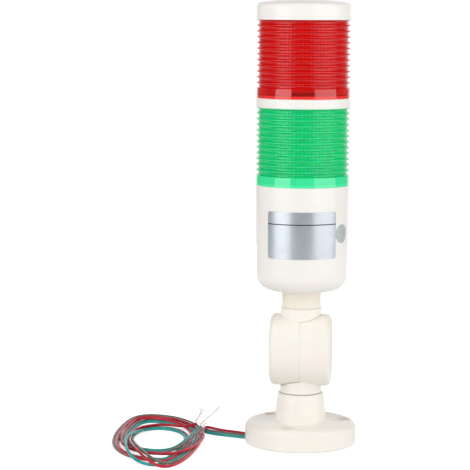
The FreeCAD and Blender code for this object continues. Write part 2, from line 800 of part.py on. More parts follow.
# Driver board on its posts, with a terminal block, a capacitor and a chip.
def driver_pieces():
    seat = s.body_bottom + s.body_wall + s.board_post_length
    post_angle = s.first_screw_angle + s.between_angle
    board = new_body("driver_board")
    sketch = new_sketch(board, "driver_outline", "XY_Plane", seat)
    circle_at(sketch, 0, driver_radius)
    circle_at(sketch, 0, s.rod_nut_radius)
    extruded(board, "Pad", "driver_disc", sketch, s.board_thickness, True)
    hole = new_sketch(board, "driver_hole_outline", "XY_Plane", seat - PAST, turn=post_angle)
    circle_at(hole, post_circle, s.small_screw_radius + s.rod_play)
    holes = extruded(board, "Pocket", "driver_hole", hole, s.board_thickness + 2 * PAST, True)
    around(board, "driver_holes", [holes], s.anchor_count)
    top = seat + s.board_thickness
    beside_rod = s.rod_nut_radius + s.terminal_gap
    terminal_left = s.board_post_radius / 2 - s.terminal_length
    terminal = primitive("Box", "terminal_block", (terminal_left, beside_rod, top),
                         Length=s.terminal_length, Width=s.terminal_width, Height=s.terminal_height)
    terminal.Label = "terminal_block"
    can = primitive("Cylinder", "capacitor", (-s.capacitor_left, -s.capacitor_front, top),
                    Radius=s.capacitor_radius, Height=s.capacitor_height)
    can.Label = "capacitor"
    chip = primitive("Box", "driver_chip", (beside_rod, -s.chip_width / 2, top),
                     Length=s.chip_width, Width=s.chip_width, Height=s.chip_height)
    chip.Label = "driver_chip"
    screws = small_screws("board_screws", post_circle, top, post_angle)
    return [board, terminal, can, chip, screws]


# Lamp tier: a round board, a six-sided column on it and small lamps on its flats.
def tier(colour, seat):
    board = new_body(f"{colour}_lamp_board")
    sketch = new_sketch(board, f"{colour}_board_outline", "XY_Plane", seat)
    circle_at(sketch, 0, board_radius)
    circle_at(sketch, 0, s.column_bore_radius)
    extruded(board, "Pad", f"{colour}_board_disc", sketch, s.board_thickness, True)
    hole = new_sketch(board, f"{colour}_hole_outline", "XY_Plane", seat - PAST, turn=s.first_screw_angle)
    circle_at(hole, anchor_circle, s.small_head_radius + s.rod_play)
    holes = extruded(board, "Pocket", f"{colour}_hole", hole, s.board_thickness + 2 * PAST, True)
    around(board, f"{colour}_holes", [holes], s.anchor_count)

    foot = seat + s.board_thickness
    blank = primitive("Prism", f"{colour}_column_blank", (0, 0, foot), Polygon=6,
                      Circumradius=s.column_radius, Height=s.column_height)
    bore = primitive("Cylinder", f"{colour}_column_bore", (0, 0, foot),
                     Radius=s.column_bore_radius, Height=s.column_height)
    column = cut(f"{colour}_lamp_column", blank, bore)
    flat = s.column_radius * math.cos(math.pi / 6)
    lamps = []
    for level in range(int(SIZES["lamp_rows"])):
        height = foot + s.lamp_pitch * (level + 0.5)
        for side in range(6):
            turn = 60 * side + 30
            across, along = math.cos(math.radians(turn)), math.sin(math.radians(turn))
            at = (
                flat * across + s.lamp_width / 2 * along,
                flat * along - s.lamp_width / 2 * across,
                height,
            )
            lamps.append(primitive("Box", f"{colour}_lamp_{level}_{side}", at, turn=turn,
                                   Length=s.lamp_thickness, Width=s.lamp_width, Height=s.lamp_height))
    return [board, column, group(f"{colour}_lamps", lamps)]


# Seals: round rings round each lip, in the seats of the lenses.
def seals():
    centre = lip_radius + s.seal_section + s.seal_play / 2
    places = {
        "green_lower_seal": body_top + s.seal_section,
        "green_upper_seal": ring_bottom - s.seal_section,
        "red_lower_seal": ring_top + s.seal_section,
        "red_upper_seal": cap_bottom - s.seal_section,
    }
    made = []
    for name, height in places.items():
        seal = primitive("Torus", name, (0, 0, height), Radius1=centre, Radius2=s.seal_section)
        seal.Label = name
        made.append(seal)
    return made


# Label and sticker: thin foil that follows the body's taper.
def foil(name, bottom, height, start, sweep):
    slope = s.body_taper / (s.body_height - s.body_corner)
    low = body_low_radius + slope * (bottom - s.body_bottom - s.body_corner) + s.label_play
    high = low + slope * height
    body = new_body(name)
    corners = [
        (low, bottom),
        (low + s.label_thickness, bottom),
        (high + s.label_thickness, bottom + height),
        (high, bottom + height),
    ]
    turned(body, "Revolution", f"{name}_foil", corners, sweep=sweep)
    place(body, turn=start)
    return body


label_sweep = s.label_width / s.body_radius * DEGREES
label_start = s.label_angle - label_sweep / 2
sticker_middle = s.label_width / 2 + s.sticker_gap + s.sticker_radius
sticker_angle = s.label_angle + sticker_middle / s.body_radius * DEGREES


def sticker():
    """A disc punched out of a larger square of foil."""
    sweep = s.sticker_blank / s.body_radius * DEGREES
    sheet_piece = foil("sticker_sheet", s.sticker_height - s.sticker_blank / 2, s.sticker_blank,
                       sticker_angle - sweep / 2, sweep)
    punch = primitive("Cylinder", "sticker_punch", (0, 0, s.sticker_height), ALONG_X["axis"], 90,
                      Radius=s.sticker_radius, Height=s.body_radius * 2)
    turned_punch = group("sticker_punch_turned", [punch])
    place(turned_punch, turn=sticker_angle)
    disc = doc.addObject("Part::MultiCommon", "round_sticker")
    disc.Shapes = [sheet_piece, turned_punch]
    disc.Label = "round_sticker"
    return disc


# Wires. Each route is straight runs joined by arcs as large as the runs allow.
RUN_SHARE = 0.45


def rounded_route(points):
    points = [Vector(*p) for p in points]
    edges = []
    radii = []
    here = points[0]
    for before, corner, after in zip(points, points[1:], points[2:]):
        back = (before - corner).normalize()
        ahead = (after - corner).normalize()
        turn = math.pi - back.getAngle(ahead)
        run = min((before - corner).Length, (after - corner).Length)
        trim = RUN_SHARE * run
        radii.append(trim / math.tan(turn / 2))
        start, end = corner + back * trim, corner + ahead * trim
        centre = corner + (back + ahead).normalize() * (radii[-1] / math.cos(turn / 2))
        middle = centre + (corner - centre).normalize() * radii[-1]
        edges.append(Part.LineSegment(here, start).toShape())
        edges.append(Part.Arc(start, middle, end).toShape())
        here = end
    edges.append(Part.LineSegment(here, points[-1]).toShape())
    return Part.Wire(edges), radii


def wire(name, points):
    route, radii = rounded_route(points)
    start = Vector(*points[0])
    direction = Vector(*points[1]) - start
    radius = sheet.get("wire_diameter") / 2
    section = Part.Wire([Part.Circle(start, direction, radius).toShape()])
    solid = route.makePipeShell([section], True, False)
    expected = math.pi * radius**2 * route.Length
    print(f"{name}: length {route.Length:.1f}, radii {min(radii):.1f} to {max(radii):.1f},",
          f"volume / expected {solid.Volume / expected:.4f}")
    thing = doc.addObject("Part::Feature", name)
    thing.Shape = solid
    thing.Label = name
    return thing


# Leads: down in the socket, out under the foot and on to the hank. Tails: the wires'
# ends, which come out of the hank and rest across it.
WIRE_ROUTES = {
    "red_wire_lead": [
        (0.0, 1.9, 14.0), (-0.8, 2.1, 4.5), (-10.5, 4.8, 1.4), (-20.5, 6.6, 1.5), (-31.2, 10.1, 1.6),
        (-37.6, 14.6, 1.3), (-44.2, 18.4, 1.1), (-49.6, 20.9, 1.6), (-55.8, 20.6, 2.6), (-55.4, 11.6, 2.6),
        (-53.8, 2.5, 1.6),
    ],
    "grey_wire_lead": [
        (-0.9, 0.0, 14.0), (-1.6, 0.2, 4.6), (-11.0, 2.8, 1.5), (-21.0, 4.9, 1.0), (-30.9, 8.2, 0.8),
        (-37.2, 11.2, 0.8), (-43.6, 13.7, 0.8), (-50.4, 16.7, 0.8), (-55.8, 21.9, 0.8), (-61.6, 34.2, 0.8),
        (-71.0, 40.5, 1.0),
    ],
    "green_wire_lead": [
        (0.0, -1.9, 14.0), (-0.8, -1.7, 4.5), (-11.4, 0.8, 1.4), (-21.5, 2.6, 1.0), (-30.4, 3.2, 0.8),
        (-36.7, 5.8, 0.8), (-43.0, 8.2, 0.8), (-50.0, 11.4, 0.8), (-55.6, 17.1, 0.8), (-61.3, 28.7, 0.8),
        (-69.4, 36.6, 1.0),
    ],
    "red_wire_tail": [(-74.0, 25.2, 1.8), (-68.1, 23.6, 2.2), (-63.4, 21.2, 3.8), (-59.3, 21.8, 5.4)],
    "grey_wire_tail": [
        (-65.1, -36.6, 1.6), (-60.3, -32.2, 4.4), (-57.4, -20.1, 5.6), (-55.5, -8.3, 6.4), (-53.9, 0.6, 7.2),
    ],
    "green_wire_tail": [
        (-65.6, -32.1, 1.8), (-61.2, -26.7, 4.4), (-58.5, -14.6, 5.6), (-56.8, -2.7, 6.4), (-54.9, 4.6, 7.4),
    ],
}
HANK_CENTRE = (-76.2, -8.5)
HANK_TURN = 9.4


def wire_hank():
    """The outer shape of the loose turns: a flat oval ring on the ground."""
    rings = {}
    ovals = {"outer": (s.hank_length, s.hank_width), "inner": (s.hank_hole_length, s.hank_hole_width)}
    for part, (length, width) in ovals.items():
        oval = doc.addObject("Part::Ellipse", f"hank_{part}_oval")
        bind(oval, "MajorRadius", length / 2)
        bind(oval, "MinorRadius", width / 2)
        rings[part] = doc.addObject("Part::Extrusion", f"hank_{part}")
        rings[part].Base = oval
        rings[part].DirMode = "Custom"
        rings[part].Dir = Vector(0, 0, 1)
        rings[part].Solid = True
        bind(rings[part], "LengthFwd", s.hank_height)
    hank = cut("wire_hank", rings["outer"], rings["inner"])
    place(hank, (*HANK_CENTRE, 0), turn=90 + HANK_TURN)
    return hank


parts += [mounting_base(), upper_half, lower_half]
parts += pivot_pieces()
parts += [body_housing(), lens("green_lens", body_top), spacer_ring(), lens("red_lens", ring_top), top_cap()]
parts += clamp_pieces()
parts += [small_screws("anchor_screws", anchor_circle, body_top, s.first_screw_angle)]
parts += driver_pieces()
parts += tier("green", body_top)
parts += tier("red", ring_top - s.ring_web_drop)
parts += seals()

# Black plug on the red tier's board, which shows through the lens's smooth band.
plug_face = board_radius - s.plug_inset
plug = primitive(
    "Box", "red_board_plug",
    (
        sine(s.plug_angle) * plug_face - cosine(s.plug_angle) * s.plug_width / 2,
        -sine(s.plug_angle) * s.plug_width / 2 - cosine(s.plug_angle) * plug_face,
        ring_top - s.ring_web_drop + s.board_thickness,
    ),
    turn=s.plug_angle, Length=s.plug_width, Width=s.plug_depth, Height=s.plug_height,
)
plug.Label = "red_board_plug"
parts.append(plug)
parts.append(foil("rating_label", s.label_bottom, s.label_height, label_start, label_sweep))
parts.append(sticker())
parts += [wire(name, points) for name, points in WIRE_ROUTES.items()]
parts.append(wire_hank())

doc.recompute()
failed = [o.Name for o in doc.Objects if "Invalid" in o.State or "Error" in o.State]
if failed:
    raise RuntimeError(f"failed objects: {failed}")
for part in parts:
    shape = part.Shape
    if shape.isNull() or not shape.isValid() or not shape.Solids:
        raise RuntimeError(f"{part.Label} has no valid shape")
    print(f"{part.Label}: {len(shape.Solids)} solids, {shape.Volume:.1f} mm3")

os.makedirs("parts", exist_ok=True)
for part in parts:
    part.Shape.exportStep(f"parts/{part.Label}.step")
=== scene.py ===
import math

import bpy
import numpy as np
from mathutils import Matrix, Vector


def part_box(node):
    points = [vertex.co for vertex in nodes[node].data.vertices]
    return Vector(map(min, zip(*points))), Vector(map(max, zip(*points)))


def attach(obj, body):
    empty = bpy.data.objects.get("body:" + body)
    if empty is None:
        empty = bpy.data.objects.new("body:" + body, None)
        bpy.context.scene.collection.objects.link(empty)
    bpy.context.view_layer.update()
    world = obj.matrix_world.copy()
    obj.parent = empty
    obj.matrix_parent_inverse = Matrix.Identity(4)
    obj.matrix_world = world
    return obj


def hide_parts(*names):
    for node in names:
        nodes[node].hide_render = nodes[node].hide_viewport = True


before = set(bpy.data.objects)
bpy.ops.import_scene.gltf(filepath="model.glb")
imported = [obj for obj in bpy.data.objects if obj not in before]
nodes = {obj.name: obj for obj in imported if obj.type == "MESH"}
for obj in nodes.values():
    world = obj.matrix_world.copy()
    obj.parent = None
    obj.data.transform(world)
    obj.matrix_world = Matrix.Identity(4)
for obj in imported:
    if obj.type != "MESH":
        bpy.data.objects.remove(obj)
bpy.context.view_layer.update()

MM = 0.001

# Mounting foot. A round flange with three sunk screw holes and the socket of the fold,
# moulded in one piece of ivory plastic. Three screws from above hold it down.


def srgb(red, green, blue):
    """A colour as a screen shows it, 0 to 255, as the linear colour that a shader takes."""
    parts = [channel / 255 for channel in (red, green, blue)]
    return [c / 12.92 if c < 0.04045 else ((c + 0.055) / 1.055) ** 2.4 for c in parts] + [1.0]


def add(tree, kind, settings=None, inputs=None):
    """One node of a tree. An input is a number, a colour or another node's output."""
    node = tree.nodes.new(kind)
    for name, value in (settings or {}).items():
        setattr(node, name, value)
    for name, value in (inputs or {}).items():
        if isinstance(value, bpy.types.NodeSocket):
            tree.links.new(value, node.inputs[name])
        else:
            node.inputs[name].default_value = value
    return node


def shader_material(name, **values):
    """A new material with its tree and its shader, whose even values are set here."""
    material = bpy.data.materials.new(name)
    material.use_nodes = True
    shader = material.node_tree.nodes["Principled BSDF"]
    for socket, value in values.items():
        shader.inputs[socket.replace("_", " ")].default_value = value
    return material, material.node_tree, shader


def ramp(tree, value, start, end, low, high):
    """Goes from low to high while a value goes from start to end."""
    scale = {"Value": value, "From Min": start, "From Max": end, "To Min": low, "To Max": high}
    return add(tree, "ShaderNodeMapRange", {}, scale).outputs["Result"]


def spread(tree, cloud, low, high):
    """Turns a noise of about 0.3 to 0.7 into low to high."""
    return ramp(tree, cloud, 0.3, 0.7, low, high)


def two_tones(tree, amount, first, second):
    """A colour between two others, by an amount from 0 to 1."""
    mixed = add(tree, "ShaderNodeMix", {"data_type": "RGBA"}, {0: amount, 6: first, 7: second})
    return mixed.outputs[2]


def calculator(tree):
    """A maker of a tree's Math nodes, from an operation and its values."""
    def result(operation, *values):
        node = add(tree, "ShaderNodeMath", {"operation": operation}, dict(enumerate(values)))
        return node.outputs["Value"]
    return result


def noise(tree, place, scale, detail=2.0):
    """A cloudy pattern, so many clouds to the metre."""
    node = add(tree, "ShaderNodeTexNoise", {}, {"Vector": place, "Scale": scale, "Detail": detail})
    return node.outputs["Fac"]


def bump(tree, height, distance, strength, normal=None):
    """The normal of a surface with a relief, on top of another relief where one is given."""
    relief = {"Height": height, "Distance": distance, "Strength": strength}
    if normal is not None:
        relief["Normal"] = normal
    return add(tree, "ShaderNodeBump", {}, relief).outputs["Normal"]


def times(colour, factor):
    """A colour made darker by a factor."""
    return [channel * factor for channel in colour[:3]] + [1.0]


FLOW_MARKS, MOULD_GRAIN, RIPPLES = 45.0, 2600.0, 130.0
GRAIN_HEIGHT, RIPPLE_HEIGHT = 0.008 * MM, 0.06 * MM
# How dark the painted shadow line at a joint is.
JOINT_SHADOW_PAINT = 0.7


def moulded_plastic(name, colour, shade, gloss, lower=None):
    """Moulded plastic: a hint of flow marks in the colour, uneven gloss, fine mould grain.

    lower is a height, the two colours of painted shade for all that lies under it, and the height
    up to which a painted shadow line darkens the joint.
    """
    material, tree, shader = shader_material(
        name, IOR=1.5, Subsurface_Weight=0.2, Subsurface_Scale=0.001, Coat_Weight=0.0
    )
    place = add(tree, "ShaderNodeTexCoord").outputs["Object"]
    flow = noise(tree, place, FLOW_MARKS, 3.0)
    tone = spread(tree, flow, 0.0, 1.0)
    base = two_tones(tree, tone, colour, shade)
    if lower is not None:
        top, shaded_colour, shaded_tone, joint = lower
        below = calculator(tree)
        height = add(tree, "ShaderNodeSeparateXYZ", {}, {"Vector": place}).outputs["Z"]
        # Everything under the top height gets the painted shade colours.
        under = below("LESS_THAN", height, top)
        base = two_tones(tree, under, base, two_tones(tree, tone, shaded_colour, shaded_tone))
        # The lowest band is darker still: a painted shadow line at the joint.
        edge = below("LESS_THAN", height, joint)
        base = two_tones(tree, edge, base, times(shaded_colour, JOINT_SHADOW_PAINT))
    tree.links.new(base, shader.inputs["Base Color"])
    tree.links.new(spread(tree, flow, gloss - 0.03, gloss + 0.04), shader.inputs["Roughness"])
    fine = bump(tree, noise(tree, place, MOULD_GRAIN, 1.0), GRAIN_HEIGHT, 0.6)
    wavy = bump(tree, noise(tree, place, RIPPLES, 1.0), RIPPLE_HEIGHT, 0.35, fine)
    tree.links.new(wavy, shader.inputs["Normal"])
    return material


def dress(material, *names):
    """Gives CAD nodes their finish."""
    for name in names:
        for slot in nodes[name].material_slots:
            slot.material = material


ivory_plastic = moulded_plastic("ivory_plastic", srgb(250, 245, 237), srgb(248, 242, 232), 0.34)
dress(ivory_plastic, "mounting_base")

# Fold. Two equal halves of the same ivory plastic, face to face, each a drum with a neck.
# The lower neck plugs into the foot and the upper one into the pole. A thin slip ring fills
# the seam between the drums, and a press-in cap closes the nut's seat on the right.
PIVOT_HEIGHT, DRUM_FACE = 51.0, 16.4
SLIP_RING = [
    (18.6, -0.03), (19.2, -0.04), (19.36, -0.085), (19.41, 0.0),
    (19.36, 0.085), (19.2, 0.04), (18.6, 0.03),
]
CAP_BACK, CAP_RADIUS = DRUM_FACE - 0.95, 5.7
NUT_CAP = [
    (0.0, CAP_BACK), (CAP_RADIUS, CAP_BACK), (CAP_RADIUS, CAP_BACK + 0.6),
    (CAP_RADIUS - 0.1, CAP_BACK + 0.8), (CAP_RADIUS - 0.3, CAP_BACK + 0.89), (0.0, CAP_BACK + 0.9),
]
PIVOT_COLUMNS = 160
CREASE = math.radians(32)


def plain_mesh(thing, name):
    """The finished piece as a plain mesh, with nothing left to compute."""
    bpy.context.view_layer.update()
    graph = bpy.context.evaluated_depsgraph_get()
    mesh = bpy.data.meshes.new_from_object(thing.evaluated_get(graph))
    bpy.data.objects.remove(thing)
    mesh.name = name
    done = bpy.data.objects.new(name, mesh)
    bpy.context.scene.collection.objects.link(done)
    return done


def turned_piece_tree():
    """A profile, given as the piece's own points, turned round Z with ridges on marked rows."""
    tree = bpy.data.node_groups.new("turned_piece", "GeometryNodeTree")
    face = tree.interface
    face.new_socket("Profile", in_out="INPUT", socket_type="NodeSocketGeometry")
    face.new_socket("Columns", in_out="INPUT", socket_type="NodeSocketInt")
    face.new_socket("Ridges", in_out="INPUT", socket_type="NodeSocketInt")
    face.new_socket("Ridge depth", in_out="INPUT", socket_type="NodeSocketFloat")
    face.new_socket("Finish", in_out="INPUT", socket_type="NodeSocketMaterial")
    face.new_socket("Piece", in_out="OUTPUT", socket_type="NodeSocketGeometry")
    given = tree.nodes.new("NodeGroupInput").outputs
    math_of = calculator(tree)

    def whole(operation, *values):
        inputs = dict(enumerate(values))
        node = add(tree, "FunctionNodeIntegerMath", {"operation": operation}, inputs)
        return node.outputs["Value"]

    size = add(tree, "GeometryNodeAttributeDomainSize", {}, {"Geometry": given["Profile"]})
    rows = size.outputs["Point Count"]
    grid = add(tree, "GeometryNodeMeshGrid", {}, {
        "Vertices X": whole("ADD", given["Columns"], 1), "Vertices Y": rows,
    }).outputs["Mesh"]
    index = add(tree, "GeometryNodeInputIndex").outputs["Index"]
    row = whole("MODULO", index, rows)
    column = whole("DIVIDE_FLOOR", index, rows)
    where = add(tree, "GeometryNodeInputPosition").outputs["Position"]
    point = add(tree, "GeometryNodeSampleIndex", {"data_type": "FLOAT_VECTOR"}, {
        "Geometry": given["Profile"], "Value": where, "Index": row,
    }).outputs["Value"]
    marked = add(tree, "GeometryNodeInputNamedAttribute", {"data_type": "FLOAT"}, {"Name": "ridged"})
    ridged = add(tree, "GeometryNodeSampleIndex", {"data_type": "FLOAT"}, {
        "Geometry": given["Profile"], "Value": marked.outputs["Attribute"], "Index": row,
    }).outputs["Value"]
    apart = add(tree, "ShaderNodeSeparateXYZ", {}, {"Vector": point}).outputs
    turn = math_of("DIVIDE", column, given["Columns"])
    phase = math_of("MULTIPLY", turn, given["Ridges"])
    wave = math_of("MULTIPLY", math_of("PINGPONG", phase, 0.5), 2.0)
    rise = math_of("MULTIPLY", math_of("MULTIPLY", wave, given["Ridge depth"]), ridged)
    radius = math_of("ADD", apart["X"], rise)
    angle = math_of("MULTIPLY", turn, math.tau)
    spot = add(tree, "ShaderNodeCombineXYZ", {}, {
        "X": math_of("MULTIPLY", radius, math_of("COSINE", angle)),
        "Y": math_of("MULTIPLY", radius, math_of("SINE", angle)),
        "Z": apart["Z"],
    }).outputs["Vector"]

    def then(kind, geometry, settings=None, **inputs):
        inputs = {key.replace("_", " "): value for key, value in inputs.items()}
        return add(tree, kind, settings, {"Geometry": geometry, **inputs}).outputs["Geometry"]

    turned = then("GeometryNodeSetPosition", grid, Position=spot)
    closed = then("GeometryNodeMergeByDistance", turned, Distance=0.001 * MM)
    smooth = then("GeometryNodeSetShadeSmooth", closed, {"domain": "FACE"})
    bend = add(tree, "GeometryNodeInputMeshEdgeAngle").outputs["Unsigned Angle"]
    sharp = math_of("GREATER_THAN", bend, CREASE)
    creased = then(
        "GeometryNodeSetShadeSmooth", smooth, {"domain": "EDGE"}, Selection=sharp, Shade_Smooth=False
    )
    single = then("GeometryNodeRealizeInstances", creased)
    finished = then("GeometryNodeSetMaterial", single, Material=given["Finish"])
    tree.links.new(finished, tree.nodes.new("NodeGroupOutput").inputs["Piece"])
    return tree


def from_tree(tree, name, start, values):
    """Runs a tree on a starting mesh, with its inputs by their names."""
    thing = bpy.data.objects.new(name, start)
    bpy.context.scene.collection.objects.link(thing)
    modifier = thing.modifiers.new("tree", "NODES")
    modifier.node_group = tree
    items = tree.interface.items_tree
    sockets = {item.name: item.identifier for item in items if item.in_out == "INPUT"}
    for socket, value in values.items():
        modifier[sockets[socket]] = value
    return plain_mesh(thing, name)


def turned_piece(name, profile, columns, material, ridges=0, depth=0.0):
    """Turns a closed profile of (radius, height, ridged) rows in millimetres."""
    rows = profile + profile[:1]
    mesh = bpy.data.meshes.new(f"{name}_profile")
    mesh.from_pydata([(r * MM, 0, z * MM) for r, z, _ in rows], [], [])
    mark = mesh.attributes.new("ridged", "FLOAT", "POINT")
    mark.data.foreach_set("value", [ridged for _, _, ridged in rows])
    return from_tree(turned_tree, name, mesh, {
        "Columns": columns, "Ridges": ridges, "Ridge depth": depth * MM, "Finish": material,
    })


def on_the_pivot(piece):
    """Turns a piece made round Z to lie round the pivot."""
    along_x = Matrix.Rotation(math.pi / 2, 4, "Y")
    piece.data.transform(Matrix.Translation((0, 0, PIVOT_HEIGHT * MM)) @ along_x)
    return piece


turned_tree = turned_piece_tree()
dress(ivory_plastic, "lower_joint_half", "upper_joint_half")
for name, profile in (("slip_ring", SLIP_RING), ("nut_cap", NUT_CAP)):
    rows = [(radius, along, 0) for radius, along in profile]
    part = on_the_pivot(turned_piece(name, rows, PIVOT_COLUMNS, ivory_plastic))
    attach(part, "foot")

# Pivot. A zinc-plated socket screw, two washers and a nut clamp the halves together. The
# tie rod, its nuts, its anchor plate and the small screws inside the body have the same plate.
CLOUDS, CLOUD_HEIGHT, CLOUD_SHADE = 350.0, 0.02 * MM, 0.82


def plated_steel(name, colour, gloss):
    """Zinc plate: slightly blue and cloudy, with a fine cloudy relief."""
    material, tree, shader = shader_material(name, Metallic=1.0)
    place = add(tree, "ShaderNodeTexCoord").outputs["Object"]
    cloud = noise(tree, place, CLOUDS, 4.0)
    base = two_tones(tree, spread(tree, cloud, 0.0, 1.0), colour, times(colour, CLOUD_SHADE))
    tree.links.new(base, shader.inputs["Base Color"])
    tree.links.new(spread(tree, cloud, gloss - 0.06, gloss + 0.08), shader.inputs["Roughness"])
    tree.links.new(bump(tree, cloud, CLOUD_HEIGHT, 0.3), shader.inputs["Normal"])
    return material


zinc = plated_steel("zinc_plate", srgb(196, 199, 203), 0.3)
dress(zinc, "pivot_screw", "pivot_head_washer", "pivot_nut_washer", "pivot_nut")
dress(zinc, "tie_rod", "rod_nuts", "anchor_plate", "anchor_screws", "board_screws")

# Body. A white moulded cup that narrows downwards, with a pole under it that is moulded on.
# The pole's lower end plugs over the fold's spigot. The pole is painted darker and yellower
# than the cup, as painted shade under the body.
WHITE, WHITE_SHADE = srgb(247, 243, 239), srgb(244, 240, 234)
SHADED_POLE_COLOUR, SHADED_POLE_TONE = srgb(248, 242, 230), srgb(246, 239, 225)
POLE_TOP, POLE_FOOT, JOINT_SHADOW_LINE = 83.75 * MM, 74.1 * MM, 0.3 * MM
WHITE_GLOSS = 0.3
# The pole's painted shade under the body, and its painted shadow line at the foot.
shaded_pole = (POLE_TOP, SHADED_POLE_COLOUR, SHADED_POLE_TONE, POLE_FOOT + JOINT_SHADOW_LINE)
white_plastic_with_painted_shade = moulded_plastic("white_plastic_with_shaded_pole", WHITE, WHITE_SHADE, WHITE_GLOSS, shaded_pole)
dress(white_plastic_with_painted_shade, "body_housing")

# Driver board. A white board inside the body, held by small screws, with a black terminal
# block, a capacitor and a chip soldered on.


def board_finish(name, colour, shade):
    """White solder mask with a little of the copper's pattern showing as low relief."""
    material, tree, shader = shader_material(name, IOR=1.5)
    place = add(tree, "ShaderNodeTexCoord").outputs["Object"]
    tracks = add(tree, "ShaderNodeTexBrick", {"offset": 0.5}, {
        "Vector": place, "Scale": 260.0, "Mortar Size": 0.03,
        "Color1": colour, "Color2": colour, "Mortar": shade,
    }).outputs
    tree.links.new(tracks["Color"], shader.inputs["Base Color"])
    tree.links.new(spread(tree, noise(tree, place, 300.0), 0.35, 0.5), shader.inputs["Roughness"])
    tree.links.new(bump(tree, tracks["Fac"], 0.03 * MM, 0.5), shader.inputs["Normal"])
    return material


board_white = board_finish("board_white", srgb(244, 245, 242), srgb(226, 230, 222))
black_plastic = moulded_plastic("black_plastic", srgb(26, 26, 28), srgb(20, 20, 22), 0.42)
dress(board_white, "driver_board")
dress(black_plastic, "terminal_block", "capacitor", "driver_chip")

# Rating label. Brushed silver foil, bare but for one ruled line, glued round the front of
# the body and a little out of true.
LABEL_BOTTOM, LABEL_TOP = 102.7 * MM, 127.7 * MM
LABEL_WIDTH, LABEL_CORNER, LABEL_THICKNESS = 40.1 * MM, 1.3 * MM, 0.08 * MM
LABEL_MIDDLE, LABEL_TILT = math.radians(-86.7), math.radians(0.15)
LABEL_LIFT = 0.13 * MM
LABEL_LINE, LINE_HALF = 0.735, 0.011
LINE_GREY = srgb(62, 64, 72)
WALL_LOW, WALL_HIGH = (92.2 * MM, 24.3 * MM), (140.4 * MM, 24.8 * MM)


def body_radius(height):
    """The body's outer radius, which grows evenly from its rounded bottom to its top."""
    share = (height - WALL_LOW[0]) / (WALL_HIGH[0] - WALL_LOW[0])
    return WALL_LOW[1] + (WALL_HIGH[1] - WALL_LOW[1]) * share


def mesh_object(name, points, faces, material):
    """A smooth piece from its points and faces."""
    mesh = bpy.data.meshes.new(name)
    mesh.from_pydata([tuple(p) for p in points], [], faces)
    mesh.materials.append(material)
    mesh.polygons.foreach_set("use_smooth", [True] * len(mesh.polygons))
    thing = bpy.data.objects.new(name, mesh)
    bpy.context.scene.collection.objects.link(thing)
    return thing


def foil_finish(name, colour, shade, gloss):
    """Brushed silver foil with its ruled line. The UV map runs along and up the sheet."""
    material, tree, shader = shader_material(name, Metallic=0.85, IOR=1.5, Coat_Weight=0.25)
    sheet = add(tree, "ShaderNodeTexCoord").outputs["UV"]

    def stretched(across, up, detail):
        scale = {"Vector": sheet, "Scale": (across, up, 1.0)}
        return noise(tree, add(tree, "ShaderNodeMapping", {}, scale).outputs["Vector"], 1.0, detail)

    brushed, waves = stretched(6.0, 420.0, 2.0), stretched(5.0, 3.0, 1.0)
    height = add(tree, "ShaderNodeSeparateXYZ", {}, {"Vector": sheet}).outputs["Y"]
    ruled = calculator(tree)("COMPARE", height, LABEL_LINE, LINE_HALF)
    base = two_tones(tree, spread(tree, brushed, 0.0, 1.0), colour, shade)
    tree.links.new(two_tones(tree, ruled, base, LINE_GREY), shader.inputs["Base Color"])
    tree.links.new(spread(tree, brushed, gloss - 0.05, gloss + 0.06), shader.inputs["Roughness"])
    scratched = bump(tree, brushed, 0.01 * MM, 0.4)
    tree.links.new(bump(tree, waves, 0.3 * MM, 0.2, scratched), shader.inputs["Normal"])
    return material


def foil_label():
    """A sheet with round corners, laid round the body, with its turned-down rim."""
    columns, rows = 64, 24
    across = np.sin(np.linspace(-1, 1, columns) * math.pi / 2) * 0.5
    points, spots = [], []
    for u in across:
        x = u * LABEL_WIDTH
        into_corner = max(abs(x) - (LABEL_WIDTH / 2 - LABEL_CORNER), 0.0)
        drop = LABEL_CORNER - math.sqrt(max(LABEL_CORNER**2 - into_corner**2, 0.0))
        half = (LABEL_TOP - LABEL_BOTTOM) / 2 - drop
        for v in np.linspace(-1, 1, rows):
            y = v * half
            side = x * math.cos(LABEL_TILT) - y * math.sin(LABEL_TILT)
            height = (LABEL_BOTTOM + LABEL_TOP) / 2
            height += x * math.sin(LABEL_TILT) + y * math.cos(LABEL_TILT)
            radius = body_radius(height) + LABEL_LIFT
            angle = LABEL_MIDDLE + side / radius
            points.append((radius * math.cos(angle), radius * math.sin(angle), height))
            spots.append((u + 0.5, 0.5 + y / (LABEL_TOP - LABEL_BOTTOM)))
    faces = []
    for column in range(columns - 1):
        for row in range(rows - 1):
            first = column * rows + row
            faces.append((first, first + rows, first + rows + 1, first + 1))
    label = mesh_object("label_sheet", points, faces, label_foil)
    layer = label.data.uv_layers.new(name="sheet")
    for corner in label.data.loops:
        layer.data[corner.index].uv = spots[corner.vertex_index]
    thick = label.modifiers.new("thickness", "SOLIDIFY")
    thick.thickness = LABEL_THICKNESS
    thick.offset = -1.0
    label = plain_mesh(label, "foil_label")
    label.data.set_sharp_from_angle(angle=math.radians(40))
    return label


label_foil = foil_finish("label_foil", srgb(205, 211, 217), srgb(184, 191, 198), 0.31)
label = foil_label()
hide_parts("rating_label")
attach(label, "tower")

# Round sticker. Pale foil punched round and glued on the body to the right of the label. It
# is less of a mirror than the label and shows a fine grain.


def plain_foil(name, colour, shade, gloss):
    """Pale foil with a fine grain."""
    material, tree, shader = shader_material(name, Metallic=0.55, IOR=1.5, Coat_Weight=0.2)
    place = add(tree, "ShaderNodeTexCoord").outputs["Object"]
    grain = noise(tree, place, 500.0, 3.0)
    base = two_tones(tree, spread(tree, grain, 0.0, 1.0), colour, shade)
    tree.links.new(base, shader.inputs["Base Color"])
    tree.links.new(spread(tree, grain, gloss - 0.05, gloss + 0.05), shader.inputs["Roughness"])
    return material


